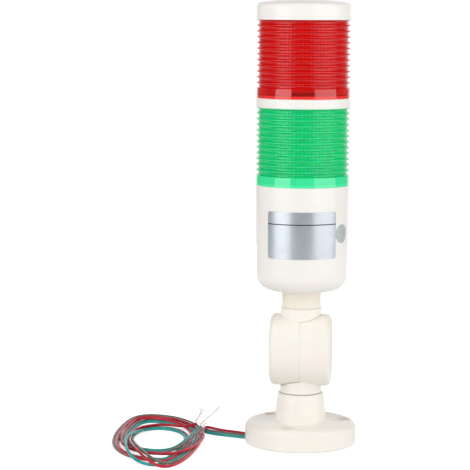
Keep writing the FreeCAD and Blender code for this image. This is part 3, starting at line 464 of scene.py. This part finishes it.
sticker_foil = plain_foil("sticker_foil", srgb(212, 219, 217), srgb(198, 207, 205), 0.38)
dress(sticker_foil, "round_sticker")

# Lamp tiers. In each lens a white board carries a six-sided column with small lamps, and
# rubber rings seal the lens at both its ends. A brass insert in the cap takes the tie rod.


def lamp_finish():
    """The lamps' yellow phosphor under clear resin, a little cloudy."""
    material, tree, shader = shader_material("lamp_yellow", IOR=1.5)
    place = add(tree, "ShaderNodeTexCoord").outputs["Object"]
    cells = noise(tree, place, 900.0)
    base = two_tones(tree, cells, srgb(236, 214, 120), srgb(226, 198, 92))
    tree.links.new(base, shader.inputs["Base Color"])
    tree.links.new(spread(tree, cells, 0.2, 0.35), shader.inputs["Roughness"])
    return material


lamp_yellow = lamp_finish()
rubber = moulded_plastic("seal_rubber", srgb(22, 22, 22), srgb(30, 30, 30), 0.6)
for colour in ("green", "red"):
    dress(board_white, f"{colour}_lamp_board", f"{colour}_lamp_column")
    dress(lamp_yellow, f"{colour}_lamps")
    dress(rubber, f"{colour}_lower_seal", f"{colour}_upper_seal")
dress(plated_steel("brass", srgb(214, 178, 96), 0.28), "cap_insert")

# Plug. A black moulded plug sits on the red tier's board with its lip over the ring's rim,
# just behind the lens, so it shows dark through the smooth band.
PLUG_WIDTH, PLUG_LOW, PLUG_STEP, PLUG_HIGH = 12.7, 0.9, 1.95, 3.35
PLUG_BACK, PLUG_FACE, PLUG_LIP, PLUG_CORNER = 14.3, 18.5, 21.25, 0.25
PLUG_ANGLE, PLUG_STEPS = math.radians(-84.5), 24


def board_plug():
    """A block with a curved lip, as one skin of rows that runs from its left to its right."""
    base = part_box("red_lens")[0][2] / MM
    outline = [
        (PLUG_BACK, PLUG_LOW), (PLUG_FACE, PLUG_LOW), (PLUG_FACE, PLUG_STEP), (PLUG_LIP, PLUG_STEP),
        (PLUG_LIP, PLUG_HIGH - PLUG_CORNER), (PLUG_LIP - PLUG_CORNER, PLUG_HIGH),
        (PLUG_BACK, PLUG_HIGH),
    ]
    count, last = len(outline), len(outline) * PLUG_STEPS
    points = []
    for step in range(PLUG_STEPS + 1):
        along = PLUG_WIDTH * (step / PLUG_STEPS - 0.5)
        for radius, height in outline:
            turn = PLUG_ANGLE + along / PLUG_LIP
            x, y = radius * math.cos(turn), radius * math.sin(turn)
            points.append((x * MM, y * MM, (base + height) * MM))
    faces = []
    for first in range(0, last, count):
        for here in range(count):
            beside = (here + 1) % count
            faces.append((first + here, first + count + here, first + count + beside, first + beside))
    faces += [list(range(count)), list(range(last, last + count))[::-1]]
    plug = mesh_object("board_plug", points, faces, black_plastic)
    plug.data.set_sharp_from_angle(angle=math.radians(30))
    return plug


plug = board_plug()
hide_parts("red_board_plug")
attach(plug, "tower")

# Lenses. Clear coloured plastic tubes, moulded with eleven fins round the outside, a
# smooth band at the foot and fine upright flutes inside. Both tiers use the same one.
LENS_RADIUS, LENS_HEIGHT, LENS_BORE = 24.85, 41.4, 21.4
SEAL_BORE, SEAL_ROOM = 22.85, 1.55
FIRST_GROOVE, FIN_PITCH, GROOVES = 5.4, 3.03, 12
GROOVE_WIDTH, GROOVE_DEPTH, GROOVE_WALL, GROOVE_STEPS = 2.43, 1.3, 0.3, 8
FLUTES, FLUTE_DEPTH, WALL_RIPPLE, COLUMNS_PER_FLUTE = 72, 0.55, 0.16, 6
TIP_HIGHLIGHT_RADIUS = (LENS_RADIUS - 0.2) * MM
PAINTED_FLUTE_SHADE, VALLEY_COAT, RIDGE_COAT, BAND_COAT = 0.8, 0.05, 1.0, 0.9
FLUTED_CLEAR, SEAT_CLEAR, SEAT_WHITE = 0.48, 0.15, 0.03
DULL, POLISHED = (0.22, 0.27), (0.05, 0.07)


def lens_profile(bottom):
    """Bottom edge, band, fins, top edge, then the inside downwards with its flutes."""
    rows = [(LENS_RADIUS - 0.15, 0.0, 0), (LENS_RADIUS, 0.15, 0)]
    edge = [(0.0, -0.12), (0.04, -0.03), (0.14, 0.03)]
    half = GROOVE_WIDTH / 2
    for number in range(GROOVES):
        middle = FIRST_GROOVE + FIN_PITCH * number + half
        rows += [(LENS_RADIUS - inwards, middle - half + up, 0) for inwards, up in edge]
        for step in range(GROOVE_STEPS + 1):
            turn = math.pi * step / GROOVE_STEPS
            depth = GROOVE_WALL + (GROOVE_DEPTH - GROOVE_WALL) * math.sin(turn)
            height = middle - (half - 0.06) * math.cos(turn)
            rows.append((LENS_RADIUS - depth, height, WALL_RIPPLE * math.sin(turn)))
        rows += [(LENS_RADIUS - inwards, middle + half - up, 0) for inwards, up in edge[::-1]]
    seal_top = LENS_HEIGHT - SEAL_ROOM
    rows += [
        (LENS_RADIUS - 0.06, LENS_HEIGHT, 0), (SEAL_BORE, LENS_HEIGHT, 0), (SEAL_BORE, seal_top, 0),
        (LENS_BORE, seal_top, 1), (LENS_BORE, FIRST_GROOVE, 1), (LENS_BORE, FIRST_GROOVE - 0.3, 0),
        (LENS_BORE, SEAL_ROOM, 0), (SEAL_BORE, SEAL_ROOM, 0), (SEAL_BORE, 0.0, 0),
    ]
    return [(r, z + bottom / MM, ridged) for r, z, ridged in rows]


def blend(tree, share, first, second):
    """A number between two others, by a share."""
    inputs = {0: share, 2: first, 3: second}
    return add(tree, "ShaderNodeMix", {"data_type": "FLOAT"}, inputs).outputs[0]


def clear_plastic(name, colour, band_and_tip_highlight_colour, band_clear, bottom):
    """Clear coloured plastic with a polished outside, milky with flutes above its clear band.
    Its fin tips carry a painted highlight, and its flutes painted shade lines and painted reflection
    stripes.
    """
    material, tree, shader = shader_material(
        name, IOR=1.33, Specular_IOR_Level=0.05, Coat_Roughness=0.04, Coat_IOR=1.65,
    )
    math_of = calculator(tree)
    place = add(tree, "ShaderNodeTexCoord").outputs["Object"]
    apart = add(tree, "ShaderNodeSeparateXYZ", {}, {"Vector": place}).outputs
    x, y, z = apart["X"], apart["Y"], apart["Z"]
    band = math_of("LESS_THAN", z, bottom + FIRST_GROOVE * MM)
    seat = math_of("LESS_THAN", z, bottom + SEAL_ROOM * MM)
    radius = math_of("SQRT", math_of("ADD", math_of("MULTIPLY", x, x), math_of("MULTIPLY", y, y)))
    # The band and the outer fin tips take the band's paler colour; on the fin tips it is a painted
    # highlight.
    rim = math_of("MAXIMUM", band, math_of("GREATER_THAN", radius, TIP_HIGHLIGHT_RADIUS))
    turn = math_of("DIVIDE", math_of("ARCTAN2", y, x), math.tau)
    flute = math_of("MULTIPLY", math_of("PINGPONG", math_of("MULTIPLY", turn, FLUTES), 0.5), 2.0)
    # The flute stripes darken the colour over the whole lens, as painted shade lines.
    flute_shaded_colour = two_tones(tree, flute, times(colour, PAINTED_FLUTE_SHADE), colour)
    base = two_tones(tree, rim, flute_shaded_colour, band_and_tip_highlight_colour)
    pale = [channel * (1 - SEAT_WHITE) + SEAT_WHITE for channel in band_and_tip_highlight_colour[:3]] + [1.0]
    tree.links.new(two_tones(tree, seat, base, pale), shader.inputs["Base Color"])
    # The coat follows the flute stripes as painted reflection stripes; on the band the coat is even.
    coat_with_painted_stripes = blend(tree, band, blend(tree, flute, VALLEY_COAT, RIDGE_COAT), BAND_COAT)
    tree.links.new(coat_with_painted_stripes, shader.inputs["Coat Weight"])
    clear = blend(tree, seat, blend(tree, band, FLUTED_CLEAR, band_clear), SEAT_CLEAR)
    tree.links.new(clear, shader.inputs["Transmission Weight"])
    flow = noise(tree, place, 160.0)
    gloss = blend(tree, band, spread(tree, flow, *DULL), spread(tree, flow, *POLISHED))
    tree.links.new(gloss, shader.inputs["Roughness"])
    tree.links.new(bump(tree, flow, 0.04 * MM, 0.15), shader.inputs["Normal"])
    return material


# Each lens: its colour, the band's paler colour that also paints the fin tips as a painted highlight,
# and how clear its band is.
lens_colours = {
    "green": ((0.001, 0.98, 0.36, 1.0), (0.06, 1.0, 0.44, 1.0), 0.25),
    "red": ((1.0, 0.002, 0.004, 1.0), (1.0, 0.014, 0.01, 1.0), 0.85),
}
for colour, tints in lens_colours.items():
    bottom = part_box(f"{colour}_lens")[0][2]
    clear = clear_plastic(f"{colour}_clear_plastic", *tints, bottom)
    columns = FLUTES * COLUMNS_PER_FLUTE
    lens = turned_piece(
        f"{colour}_ribbed_lens", lens_profile(bottom), columns, clear, FLUTES, FLUTE_DEPTH
    )
    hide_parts(f"{colour}_lens")
    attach(lens, "tower")

# Reflectors. A low ring, moulded in the boards' white, stands on each tier behind the lens's
# smooth band and lights the band up.
REFLECTOR = [(20.3, 1.95), (20.75, 1.95), (20.75, 5.3), (20.65, 5.4), (20.4, 5.4), (20.3, 5.3)]
REFLECTOR_COLUMNS = 96
for colour in ("green", "red"):
    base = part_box(f"{colour}_lens")[0][2] / MM
    rows = [(radius, height + base, 0) for radius, height in REFLECTOR]
    reflector = turned_piece(f"{colour}_reflector", rows, REFLECTOR_COLUMNS, board_white)
    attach(reflector, "tower")

# Spacer ring and cap. Both are moulded in the body's white plastic. The ring parts the two
# tiers, and the tie rod draws the cap down on them and so clamps the whole stack.
white_plastic = moulded_plastic("white_plastic", WHITE, WHITE_SHADE, WHITE_GLOSS)
dress(white_plastic, "spacer_ring", "top_cap")

# Bare ends. Each wire is stripped at its end, and its seven copper strands are twisted and
# dipped in solder, so that they stand out stiffly from the insulation.
STRANDS, TIN_THICK, PATH_POINTS = 7, 0.42, 30
TWISTS = {"red": 0.8, "grey": 0.8, "green": 1.5}
DROPS = {"red": 4.4, "grey": 1.0, "green": 1.3}
BARE_ENDS = {
    "red": [(-59.8, 21.2, 5.3), (-58.5, 23.2, 7.0), (-57.3, 25.0, 9.3), (-56.3, 26.4, 11.7)],
    "grey": [(-54.1, -0.4, 7.1), (-53.5, 1.9, 7.3), (-52.9, 3.8, 7.5), (-52.4, 5.4, 7.8)],
    "green": [(-55.1, 3.8, 7.3), (-53.6, 7.2, 8.4), (-49.8, 10.5, 11.6), (-45.3, 13.5, 15.4)],
}


def bare_end_tree():
    """Strands twisted round a path, thicker where the solder ends in a drop."""
    tree = bpy.data.node_groups.new("bare_end", "GeometryNodeTree")
    face = tree.interface
    face.new_socket("Path", in_out="INPUT", socket_type="NodeSocketGeometry")
    face.new_socket("Strands", in_out="INPUT", socket_type="NodeSocketInt")
    face.new_socket("Turns", in_out="INPUT", socket_type="NodeSocketFloat")
    face.new_socket("Bundle radius", in_out="INPUT", socket_type="NodeSocketFloat")
    face.new_socket("Strand radius", in_out="INPUT", socket_type="NodeSocketFloat")
    face.new_socket("Drop", in_out="INPUT", socket_type="NodeSocketFloat")
    face.new_socket("Finish", in_out="INPUT", socket_type="NodeSocketMaterial")
    face.new_socket("Piece", in_out="OUTPUT", socket_type="NodeSocketGeometry")
    given = tree.nodes.new("NodeGroupInput").outputs
    math_of = calculator(tree)

    def vectors(operation, inputs):
        node = add(tree, "ShaderNodeVectorMath", {"operation": operation}, inputs)
        return node.outputs["Vector"]

    def scaled(vector, amount):
        return vectors("SCALE", {"Vector": vector, "Scale": amount})

    line = add(tree, "GeometryNodeMeshToCurve", {}, {"Mesh": given["Path"]}).outputs["Curve"]
    smooth = add(tree, "GeometryNodeCurveSplineType", {"spline_type": "CATMULL_ROM"}, {
        "Curve": line,
    }).outputs["Curve"]
    fine = add(tree, "GeometryNodeResampleCurve", {}, {
        "Curve": smooth, "Count": PATH_POINTS,
    }).outputs["Curve"]
    many = add(tree, "GeometryNodeDuplicateElements", {"domain": "SPLINE"}, {
        "Geometry": fine, "Amount": given["Strands"],
    }).outputs
    along = add(tree, "GeometryNodeSplineParameter").outputs["Factor"]
    share = math_of("DIVIDE", many["Duplicate Index"], given["Strands"])
    turned = math_of("ADD", share, math_of("MULTIPLY", along, given["Turns"]))
    angle = math_of("MULTIPLY", turned, math.tau)
    drop = add(tree, "ShaderNodeMapRange", {"interpolation_type": "SMOOTHSTEP"}, {
        "Value": along, "From Min": 0.45, "From Max": 0.85, "To Min": 1.0, "To Max": given["Drop"],
    }).outputs["Result"]
    tangent = add(tree, "GeometryNodeInputTangent").outputs["Tangent"]
    normal = add(tree, "GeometryNodeInputNormal").outputs["Normal"]
    side = vectors("CROSS_PRODUCT", {0: tangent, 1: normal})
    outwards = vectors("ADD", {
        0: scaled(normal, math_of("COSINE", angle)), 1: scaled(side, math_of("SINE", angle)),
    })
    offset = scaled(outwards, math_of("MULTIPLY", given["Bundle radius"], drop))
    twisted = add(tree, "GeometryNodeSetPosition", {}, {
        "Geometry": many["Geometry"], "Offset": offset,
    }).outputs["Geometry"]
    stored = {"data_type": "FLOAT", "domain": "POINT"}
    marked = add(tree, "GeometryNodeStoreNamedAttribute", stored, {
        "Geometry": twisted, "Name": "along", "Value": along,
    }).outputs["Geometry"]
    ring = add(tree, "GeometryNodeCurvePrimitiveCircle", {"mode": "RADIUS"}, {
        "Resolution": 8, "Radius": given["Strand radius"],
    }).outputs["Curve"]
    thick = add(tree, "GeometryNodeSetCurveRadius", {}, {
        "Curve": marked, "Radius": drop,
    }).outputs["Curve"]
    solid = add(tree, "GeometryNodeCurveToMesh", {}, {
        "Curve": thick, "Profile Curve": ring, "Fill Caps": True,
    }).outputs["Mesh"]
    single = add(tree, "GeometryNodeRealizeInstances", {}, {"Geometry": solid}).outputs["Geometry"]
    finished = add(tree, "GeometryNodeSetMaterial", {}, {
        "Geometry": single, "Material": given["Finish"],
    }).outputs["Geometry"]
    tree.links.new(finished, tree.nodes.new("NodeGroupOutput").inputs["Piece"])
    return tree


def tinned_copper():
    """Copper at the insulation that turns to dull silver solder towards the end."""
    material, tree, shader = shader_material("tinned_copper", Metallic=0.1)
    place = add(tree, "ShaderNodeTexCoord").outputs["Object"]
    along = add(tree, "ShaderNodeAttribute", {"attribute_name": "along"}).outputs["Fac"]
    cloud = noise(tree, place, 900.0, 3.0)
    wetted = ramp(tree, along, 0.2, 0.5, 0.0, 1.0)
    tone = spread(tree, cloud, 0.0, 1.0)
    tin = two_tones(tree, tone, srgb(244, 244, 245), srgb(228, 229, 231))
    tree.links.new(two_tones(tree, wetted, srgb(236, 190, 164), tin), shader.inputs["Base Color"])
    tree.links.new(spread(tree, cloud, 0.28, 0.45), shader.inputs["Roughness"])
    return material


bare_tree = bare_end_tree()
bare_copper = tinned_copper()
for name, points in BARE_ENDS.items():
    mesh = bpy.data.meshes.new(f"{name}_bare_path")
    steps = [(i, i + 1) for i in range(len(points) - 1)]
    mesh.from_pydata([(x * MM, y * MM, z * MM) for x, y, z in points], steps, [])
    end = from_tree(bare_tree, f"{name}_bare_end", mesh, {
        "Strands": STRANDS, "Turns": TWISTS[name], "Bundle radius": TIN_THICK / 2 * MM,
        "Strand radius": TIN_THICK / 4 * MM, "Drop": DROPS[name], "Finish": bare_copper,
    })
    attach(end, "foot")

# Wires. Three insulated stranded wires leave under the foot and lie beside it in a loose
# hank: red wound one way, grey and green the other.
WIRE, SKIN_RADIUS, LOWEST = 1.5, 0.79, 0.8
STRAND_PITCH, SETTLE_ROUNDS, LEAD_POINTS = 1.72, 160, 8
PUSH, SINK, OWN_SHARE, NEIGHBOUR_SHARE = 0.35, 0.01, 0.7, 0.15
QUARTER_POINTS = 4
FULLNESS = {
    ("left", "back"): 0.66, ("left", "front"): 0.95,
    ("right", "back"): 0.95, ("right", "front"): 1.0,
}
WIRE_ROUTES = {
    "red": [
        (0.0, 1.9, 14.0), (-0.8, 2.1, 4.5), (-10.5, 4.8, 1.4), (-20.5, 6.6, 1.5),
        (-31.2, 10.1, 1.6), (-37.6, 14.6, 1.3), (-44.2, 18.4, 1.1), (-49.6, 20.9, 1.6),
        (-54.1, 20.9, 2.2), (-55.0, 13.6, 2.2), (-54.2, 3.5, 1.6), (-53.0, -5.5, 0.8, "side"),
        (-68.0, -50.7, 1.6, "end"), (-98.0, 0.3, 0.8, "side"), (-87.4, 40.2, 2.4, "end"),
        (-58.4, -9.8, 0.8, "side"), (-67.1, -61.7, 0.8, "end"), (-99.0, -3.7, 2.2, "side"),
        (-88.1, 45.0, 2.2, "end"), (-54.3, -9.4, 0.8, "side"), (-65.7, -72.0, 1.2, "end"),
        (-70.8, -71.9, 2.4), (-75.9, -65.6, 4.2), (-82.4, -49.3, 4.6), (-89.0, -28.5, 3.4),
        (-92.2, -14.3, 2.4), (-92.3, 1.5, 1.8), (-89.6, 15.7, 1.8), (-80.7, 24.6, 1.8, "end"),
        (-74.0, 25.2, 1.8), (-68.1, 22.8, 2.2), (-63.2, 19.4, 3.6), (-59.3, 22.0, 5.4),
    ],
    "grey": [
        (-0.9, 0.0, 14.0), (-1.6, 0.2, 4.6), (-11.0, 2.8, 1.5), (-21.0, 4.9, 1.0),
        (-30.9, 8.2, 0.8), (-37.2, 11.2, 0.8), (-43.6, 13.7, 0.8), (-50.4, 16.7, 0.8),
        (-55.8, 21.9, 0.8), (-61.6, 34.2, 0.8), (-69.8, 46.3, 0.8), (-78.0, 51.4, 1.2),
        (-88.0, 52.7, 1.6, "end"), (-101.2, 5.2, 0.8, "side"), (-68.0, -59.0, 0.8, "end"),
        (-59.4, -12.4, 0.8, "side"), (-80.6, 23.9, 0.8, "end"), (-87.9, 18.9, 0.8),
        (-91.3, 7.6, 0.8), (-91.3, -9.4, 1.4), (-88.1, -23.4, 2.4), (-81.6, -44.3, 3.6),
        (-75.0, -61.1, 3.6), (-70.7, -65.6, 2.0), (-64.8, -67.1, 0.8, "end"),
        (-55.4, -9.5, 0.8, "side"), (-85.5, 43.1, 0.8, "end"), (-96.4, -3.4, 0.8, "side"),
        (-72.1, -40.0, 0.8, "end"), (-65.1, -36.6, 1.6), (-60.3, -32.2, 4.4), (-57.4, -20.1, 5.6),
        (-55.5, -8.3, 6.4), (-53.9, 0.6, 7.2),
    ],
    "green": [
        (0.0, -1.9, 14.0), (-0.8, -1.7, 4.5), (-11.4, 0.8, 1.4), (-21.5, 2.6, 1.0),
        (-30.4, 3.2, 0.8), (-36.7, 5.8, 0.8), (-43.0, 8.2, 0.8), (-50.0, 11.4, 0.8),
        (-55.6, 17.1, 0.8), (-61.3, 28.7, 0.8), (-68.7, 41.4, 0.8), (-77.1, 49.5, 0.8),
        (-86.7, 51.9, 0.8, "end"), (-98.0, -8.6, 0.8, "side"), (-68.3, -56.3, 0.8, "end"),
        (-60.5, -12.5, 0.8, "side"), (-80.2, 20.7, 0.8, "end"), (-87.3, 15.3, 0.8),
        (-91.0, 2.0, 2.0), (-93.1, -11.9, 3.4), (-92.4, -27.6, 4.0), (-89.0, -46.8, 4.0),
        (-84.5, -60.2, 3.2), (-79.8, -65.7, 1.6), (-72.3, -69.2, 0.8, "end"),
        (-56.8, -9.6, 0.8, "side"), (-86.1, 39.2, 0.8, "end"), (-95.0, -3.2, 0.8, "side"),
        (-72.7, -35.2, 0.8, "end"), (-65.6, -32.1, 1.8), (-61.2, -26.7, 4.4), (-58.5, -14.6, 5.6),
        (-56.8, -2.7, 6.4), (-54.9, 4.6, 7.4),
    ],
}


def turning_points(route):
    """The route's points, with quarter ovals between an end and a side of the hank."""
    points = []
    for here, there in zip(route, route[1:]):
        if len(here) < 4 or len(there) < 4:
            points.append(here[:3])
            continue
        side, end = (here, there) if here[3] == "side" else (there, here)
        across = "left" if side[0] < end[0] else "right"
        fullness = FULLNESS[across, "back" if end[1] > side[1] else "front"]
        for step in range(QUARTER_POINTS):
            turn = math.pi / 2 * step / QUARTER_POINTS
            gone, left = math.sin(turn) ** fullness, math.cos(turn) ** fullness
            if here[3] == "end":
                x, y = here[0] + (there[0] - here[0]) * gone, there[1] + (here[1] - there[1]) * left
            else:
                x, y = there[0] + (here[0] - there[0]) * left, here[1] + (there[1] - here[1]) * gone
            eased = 0.5 - 0.5 * math.cos(math.pi * step / QUARTER_POINTS)
            points.append((x, y, here[2] + (there[2] - here[2]) * eased))
    return points + [route[-1][:3]]


def settle(lines):
    """Lets the wires lie beside and on each other: strands that are too near push apart."""
    names = list(lines)
    points = np.concatenate([np.array(lines[name], float) for name in names])
    rest = points.copy()
    owner = np.concatenate([[i] * len(lines[name]) for i, name in enumerate(names)])
    starts = np.cumsum([0] + [len(lines[name]) for name in names])
    held = np.zeros(len(points), bool)
    for start in starts[:-1]:
        held[start:start + LEAD_POINTS] = True
    ends = np.zeros(len(points), bool)
    ends[starts[:-1]] = ends[starts[1:] - 1] = True
    runs = np.flatnonzero(owner[1:] == owner[:-1])
    a, b = (runs[i] for i in np.triu_indices(len(runs), 1))
    apart_enough = (owner[a] != owner[b]) | (abs(a - b) > 2)
    a, b = a[apart_enough], b[apart_enough]
    for _ in range(SETTLE_ROUNDS):
        along_a, along_b = points[a + 1] - points[a], points[b + 1] - points[b]
        between = points[a] - points[b]
        aa, bb, ab = (along_a**2).sum(1), (along_b**2).sum(1), (along_a * along_b).sum(1)
        ar, br = (along_a * between).sum(1), (along_b * between).sum(1)
        at_a = np.clip((ab * br - ar * bb) / np.maximum(aa * bb - ab * ab, 1e-9), 0, 1)
        at_b = np.clip((ab * at_a + br) / bb, 0, 1)
        at_a = np.clip((ab * at_b - ar) / aa, 0, 1)
        gap = between + along_a * at_a[:, None] - along_b * at_b[:, None]
        distance = np.linalg.norm(gap, axis=1)
        near = distance < STRAND_PITCH
        if not near.any():
            break
        way = gap[near] / np.maximum(distance[near], 1e-6)[:, None]
        way[distance[near] < 0.05] = (0, 0, 1)
        push = way * ((STRAND_PITCH - distance[near]) * PUSH)[:, None]
        move = np.zeros_like(points)
        count = np.zeros(len(points))
        shares = ((a[near], 1 - at_a[near], 1), (a[near] + 1, at_a[near], 1),
                  (b[near], 1 - at_b[near], -1), (b[near] + 1, at_b[near], -1))
        for spot, weight, sign in shares:
            np.add.at(move, spot, push * (weight * sign)[:, None])
            np.add.at(count, spot, weight)
        move /= np.maximum(count, 1)[:, None]
        move[held] = 0
        moved = points + move - rest
        calm = moved.copy()
        calm[1:-1] = OWN_SHARE * moved[1:-1] + NEIGHBOUR_SHARE * (moved[:-2] + moved[2:])
        calm[ends | held] = moved[ends | held]
        points = rest + calm
        points[~held, 2] = np.maximum(points[~held, 2] - SINK, LOWEST)
    return {name: points[starts[i]:starts[i + 1]] for i, name in enumerate(names)}


def wire_finish(name, colour, shade):
    """Soft insulation: a little uneven where it was pulled and handled."""
    material, tree, shader = shader_material(
        name, IOR=1.5, Specular_IOR_Level=0.3, Coat_Weight=0.45, Coat_Roughness=0.08
    )
    place = add(tree, "ShaderNodeTexCoord").outputs["Object"]
    skin = noise(tree, place, 220.0, 3.0)
    base = two_tones(tree, spread(tree, skin, 0.0, 1.0), colour, shade)
    tree.links.new(base, shader.inputs["Base Color"])
    tree.links.new(spread(tree, skin, 0.36, 0.5), shader.inputs["Roughness"])
    tree.links.new(bump(tree, skin, 0.1 * MM, 0.25), shader.inputs["Normal"])
    return material


def wire_curve(name, points, material):
    """A smooth curve with the insulation's round section, closed at both ends."""
    curve = bpy.data.curves.new(name, "CURVE")
    curve.dimensions = "3D"
    curve.resolution_u = 6
    curve.bevel_depth = SKIN_RADIUS * MM
    curve.bevel_resolution = 3
    curve.use_fill_caps = True
    line = curve.splines.new("NURBS")
    line.points.add(len(points) - 1)
    for spot, (x, y, z) in zip(line.points, points):
        spot.co = (x * MM, y * MM, z * MM, 1.0)
    line.order_u = 3
    line.use_endpoint_u = True
    curve.materials.append(material)
    thing = bpy.data.objects.new(name, curve)
    bpy.context.scene.collection.objects.link(thing)
    return thing


wire_colours = {
    "red": (srgb(208, 16, 54), srgb(184, 10, 44)),
    "grey": (srgb(134, 125, 119), srgb(108, 100, 96)),
    "green": (srgb(0, 174, 168), srgb(0, 150, 146)),
}
settled = settle({name: turning_points(route) for name, route in WIRE_ROUTES.items()})
for name, points in settled.items():
    insulation = wire_finish(f"{name}_insulation", *wire_colours[name])
    wire = wire_curve(f"{name}_wire", points, insulation)
    ends = [node for node in (f"{name}_wire_lead", f"{name}_wire_tail") if node in nodes]
    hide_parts(*ends, "wire_hank")
    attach(wire, "foot")

# Studio. A white table and a white wall behind, one tall soft light to the left of the
# camera and a wider one to its right, as the reflections on the lenses show them.
CAMERA_PLACE, FOCAL_LENGTH = Vector((0.0667, -1.0685, 0.236)), 153.4
CAMERA_HEADING, CAMERA_PITCH, CAMERA_ROLL = 5.5, 83.44, 0.3
CAMERA_SIDE = math.atan2(CAMERA_PLACE.y, CAMERA_PLACE.x)
LIGHTS = {"left_softbox": (-51.0, 0.62, 1.95), "right_softbox": (58.5, 0.92, 1.55)}
LIGHT_DISTANCE, LIGHT_HEIGHT, LIGHT_MIDDLE = 0.8, 1.1, 0.5
ROOM_LIGHT, UNLIT, MIRROR_SHARE = 0.48, 0.12, 0.3
WALL_EDGE, CEILING_EDGE = (0.78, 0.94), (0.88, 0.98)
TABLE_RADIUS, TABLE_POINTS = 0.9, 96


def looked_at(tree):
    """1 for what looks at a surface or sees it through a lens, less for a mirror image."""
    path = add(tree, "ShaderNodeLightPath").outputs
    math_of = calculator(tree)
    faint = math_of("MULTIPLY", path["Is Glossy Ray"], MIRROR_SHARE)
    seen = math_of("MAXIMUM", path["Is Camera Ray"], faint)
    return math_of("MAXIMUM", seen, path["Is Transmission Ray"])


def table_top():
    """White paper. What looks at it sees it brighter, most where it is far from the object."""
    material, tree, shader = shader_material(
        "table_white", Base_Color=(0.9, 0.9, 0.9, 1.0), Roughness=0.7
    )
    place = add(tree, "ShaderNodeTexCoord").outputs["Object"]
    away = add(tree, "ShaderNodeVectorMath", {"operation": "LENGTH"}, {0: place}).outputs["Value"]
    level = ramp(tree, away, 0.15, 0.6, 0.6, 1.0)
    strength = calculator(tree)("MULTIPLY", looked_at(tree), level)
    white = add(tree, "ShaderNodeEmission", {}, {"Color": (1, 1, 1, 1), "Strength": strength})
    both = add(tree, "ShaderNodeAddShader", {}, {
        0: shader.outputs["BSDF"], 1: white.outputs["Emission"],
    })
    tree.links.new(both.outputs["Shader"], tree.nodes["Material Output"].inputs["Surface"])
    turns = [i * math.tau / TABLE_POINTS for i in range(TABLE_POINTS)]
    rim = [(TABLE_RADIUS * math.cos(turn), TABLE_RADIUS * math.sin(turn), 0) for turn in turns]
    mesh_object("table", rim, [range(TABLE_POINTS)], material)


def room():
    """A white paper wall behind, a white ceiling, a darker room round them, and soft light."""
    world = bpy.data.worlds.new("room")
    bpy.context.scene.world = world
    world.use_nodes = True
    tree = world.node_tree
    path = add(tree, "ShaderNodeLightPath").outputs
    way = add(tree, "ShaderNodeTexCoord").outputs["Generated"]
    towards = add(tree, "ShaderNodeSeparateXYZ", {}, {"Vector": way}).outputs
    wall = ramp(tree, towards["Y"], *WALL_EDGE, UNLIT, 1.0)
    ceiling = ramp(tree, towards["Z"], *CEILING_EDGE, UNLIT, 1.0)
    mirrored = calculator(tree)("MAXIMUM", wall, ceiling)
    through = ramp(tree, towards["Y"], *WALL_EDGE, ROOM_LIGHT, 1.0)
    strength = blend(tree, path["Is Glossy Ray"], ROOM_LIGHT, mirrored)
    strength = blend(tree, path["Is Transmission Ray"], strength, through)
    strength = blend(tree, path["Is Camera Ray"], strength, 1.0)
    tree.links.new(strength, tree.nodes["Background"].inputs["Strength"])
    tree.nodes["Background"].inputs["Color"].default_value = (1, 1, 1, 1)


def softbox(name, side, width, radiance):
    """A tall soft light that faces the object."""
    light = bpy.data.lights.new(name, "AREA")
    light.shape = "RECTANGLE"
    light.size, light.size_y = width, LIGHT_HEIGHT
    light.energy = radiance * math.pi * width * LIGHT_HEIGHT
    angle = CAMERA_SIDE + math.radians(side)
    x, y = LIGHT_DISTANCE * math.cos(angle), LIGHT_DISTANCE * math.sin(angle)
    place = Vector((x, y, LIGHT_MIDDLE))
    thing = bpy.data.objects.new(name, light)
    thing.location = place
    thing.rotation_euler = Vector((place.x, place.y, 0)).to_track_quat("Z", "Y").to_euler()
    bpy.context.scene.collection.objects.link(thing)


def photo_camera():
    """The photo's camera: a long lens, a little to the right of the front and above it."""
    camera = bpy.data.cameras.new("camera")
    camera.lens = FOCAL_LENGTH
    camera.sensor_width = 36.0
    camera.clip_start = 0.05
    thing = bpy.data.objects.new("camera", camera)
    heading = Matrix.Rotation(math.radians(CAMERA_HEADING), 4, "Z")
    pitch = Matrix.Rotation(math.radians(CAMERA_PITCH), 4, "X")
    turn = heading @ pitch @ Matrix.Rotation(math.radians(CAMERA_ROLL), 4, "Z")
    thing.matrix_world = Matrix.Translation(CAMERA_PLACE) @ turn
    bpy.context.scene.collection.objects.link(thing)
    bpy.context.scene.camera = thing


table_top()
room()
for name, values in LIGHTS.items():
    softbox(name, *values)
photo_camera()
bpy.context.scene.view_settings.view_transform = "Standard"
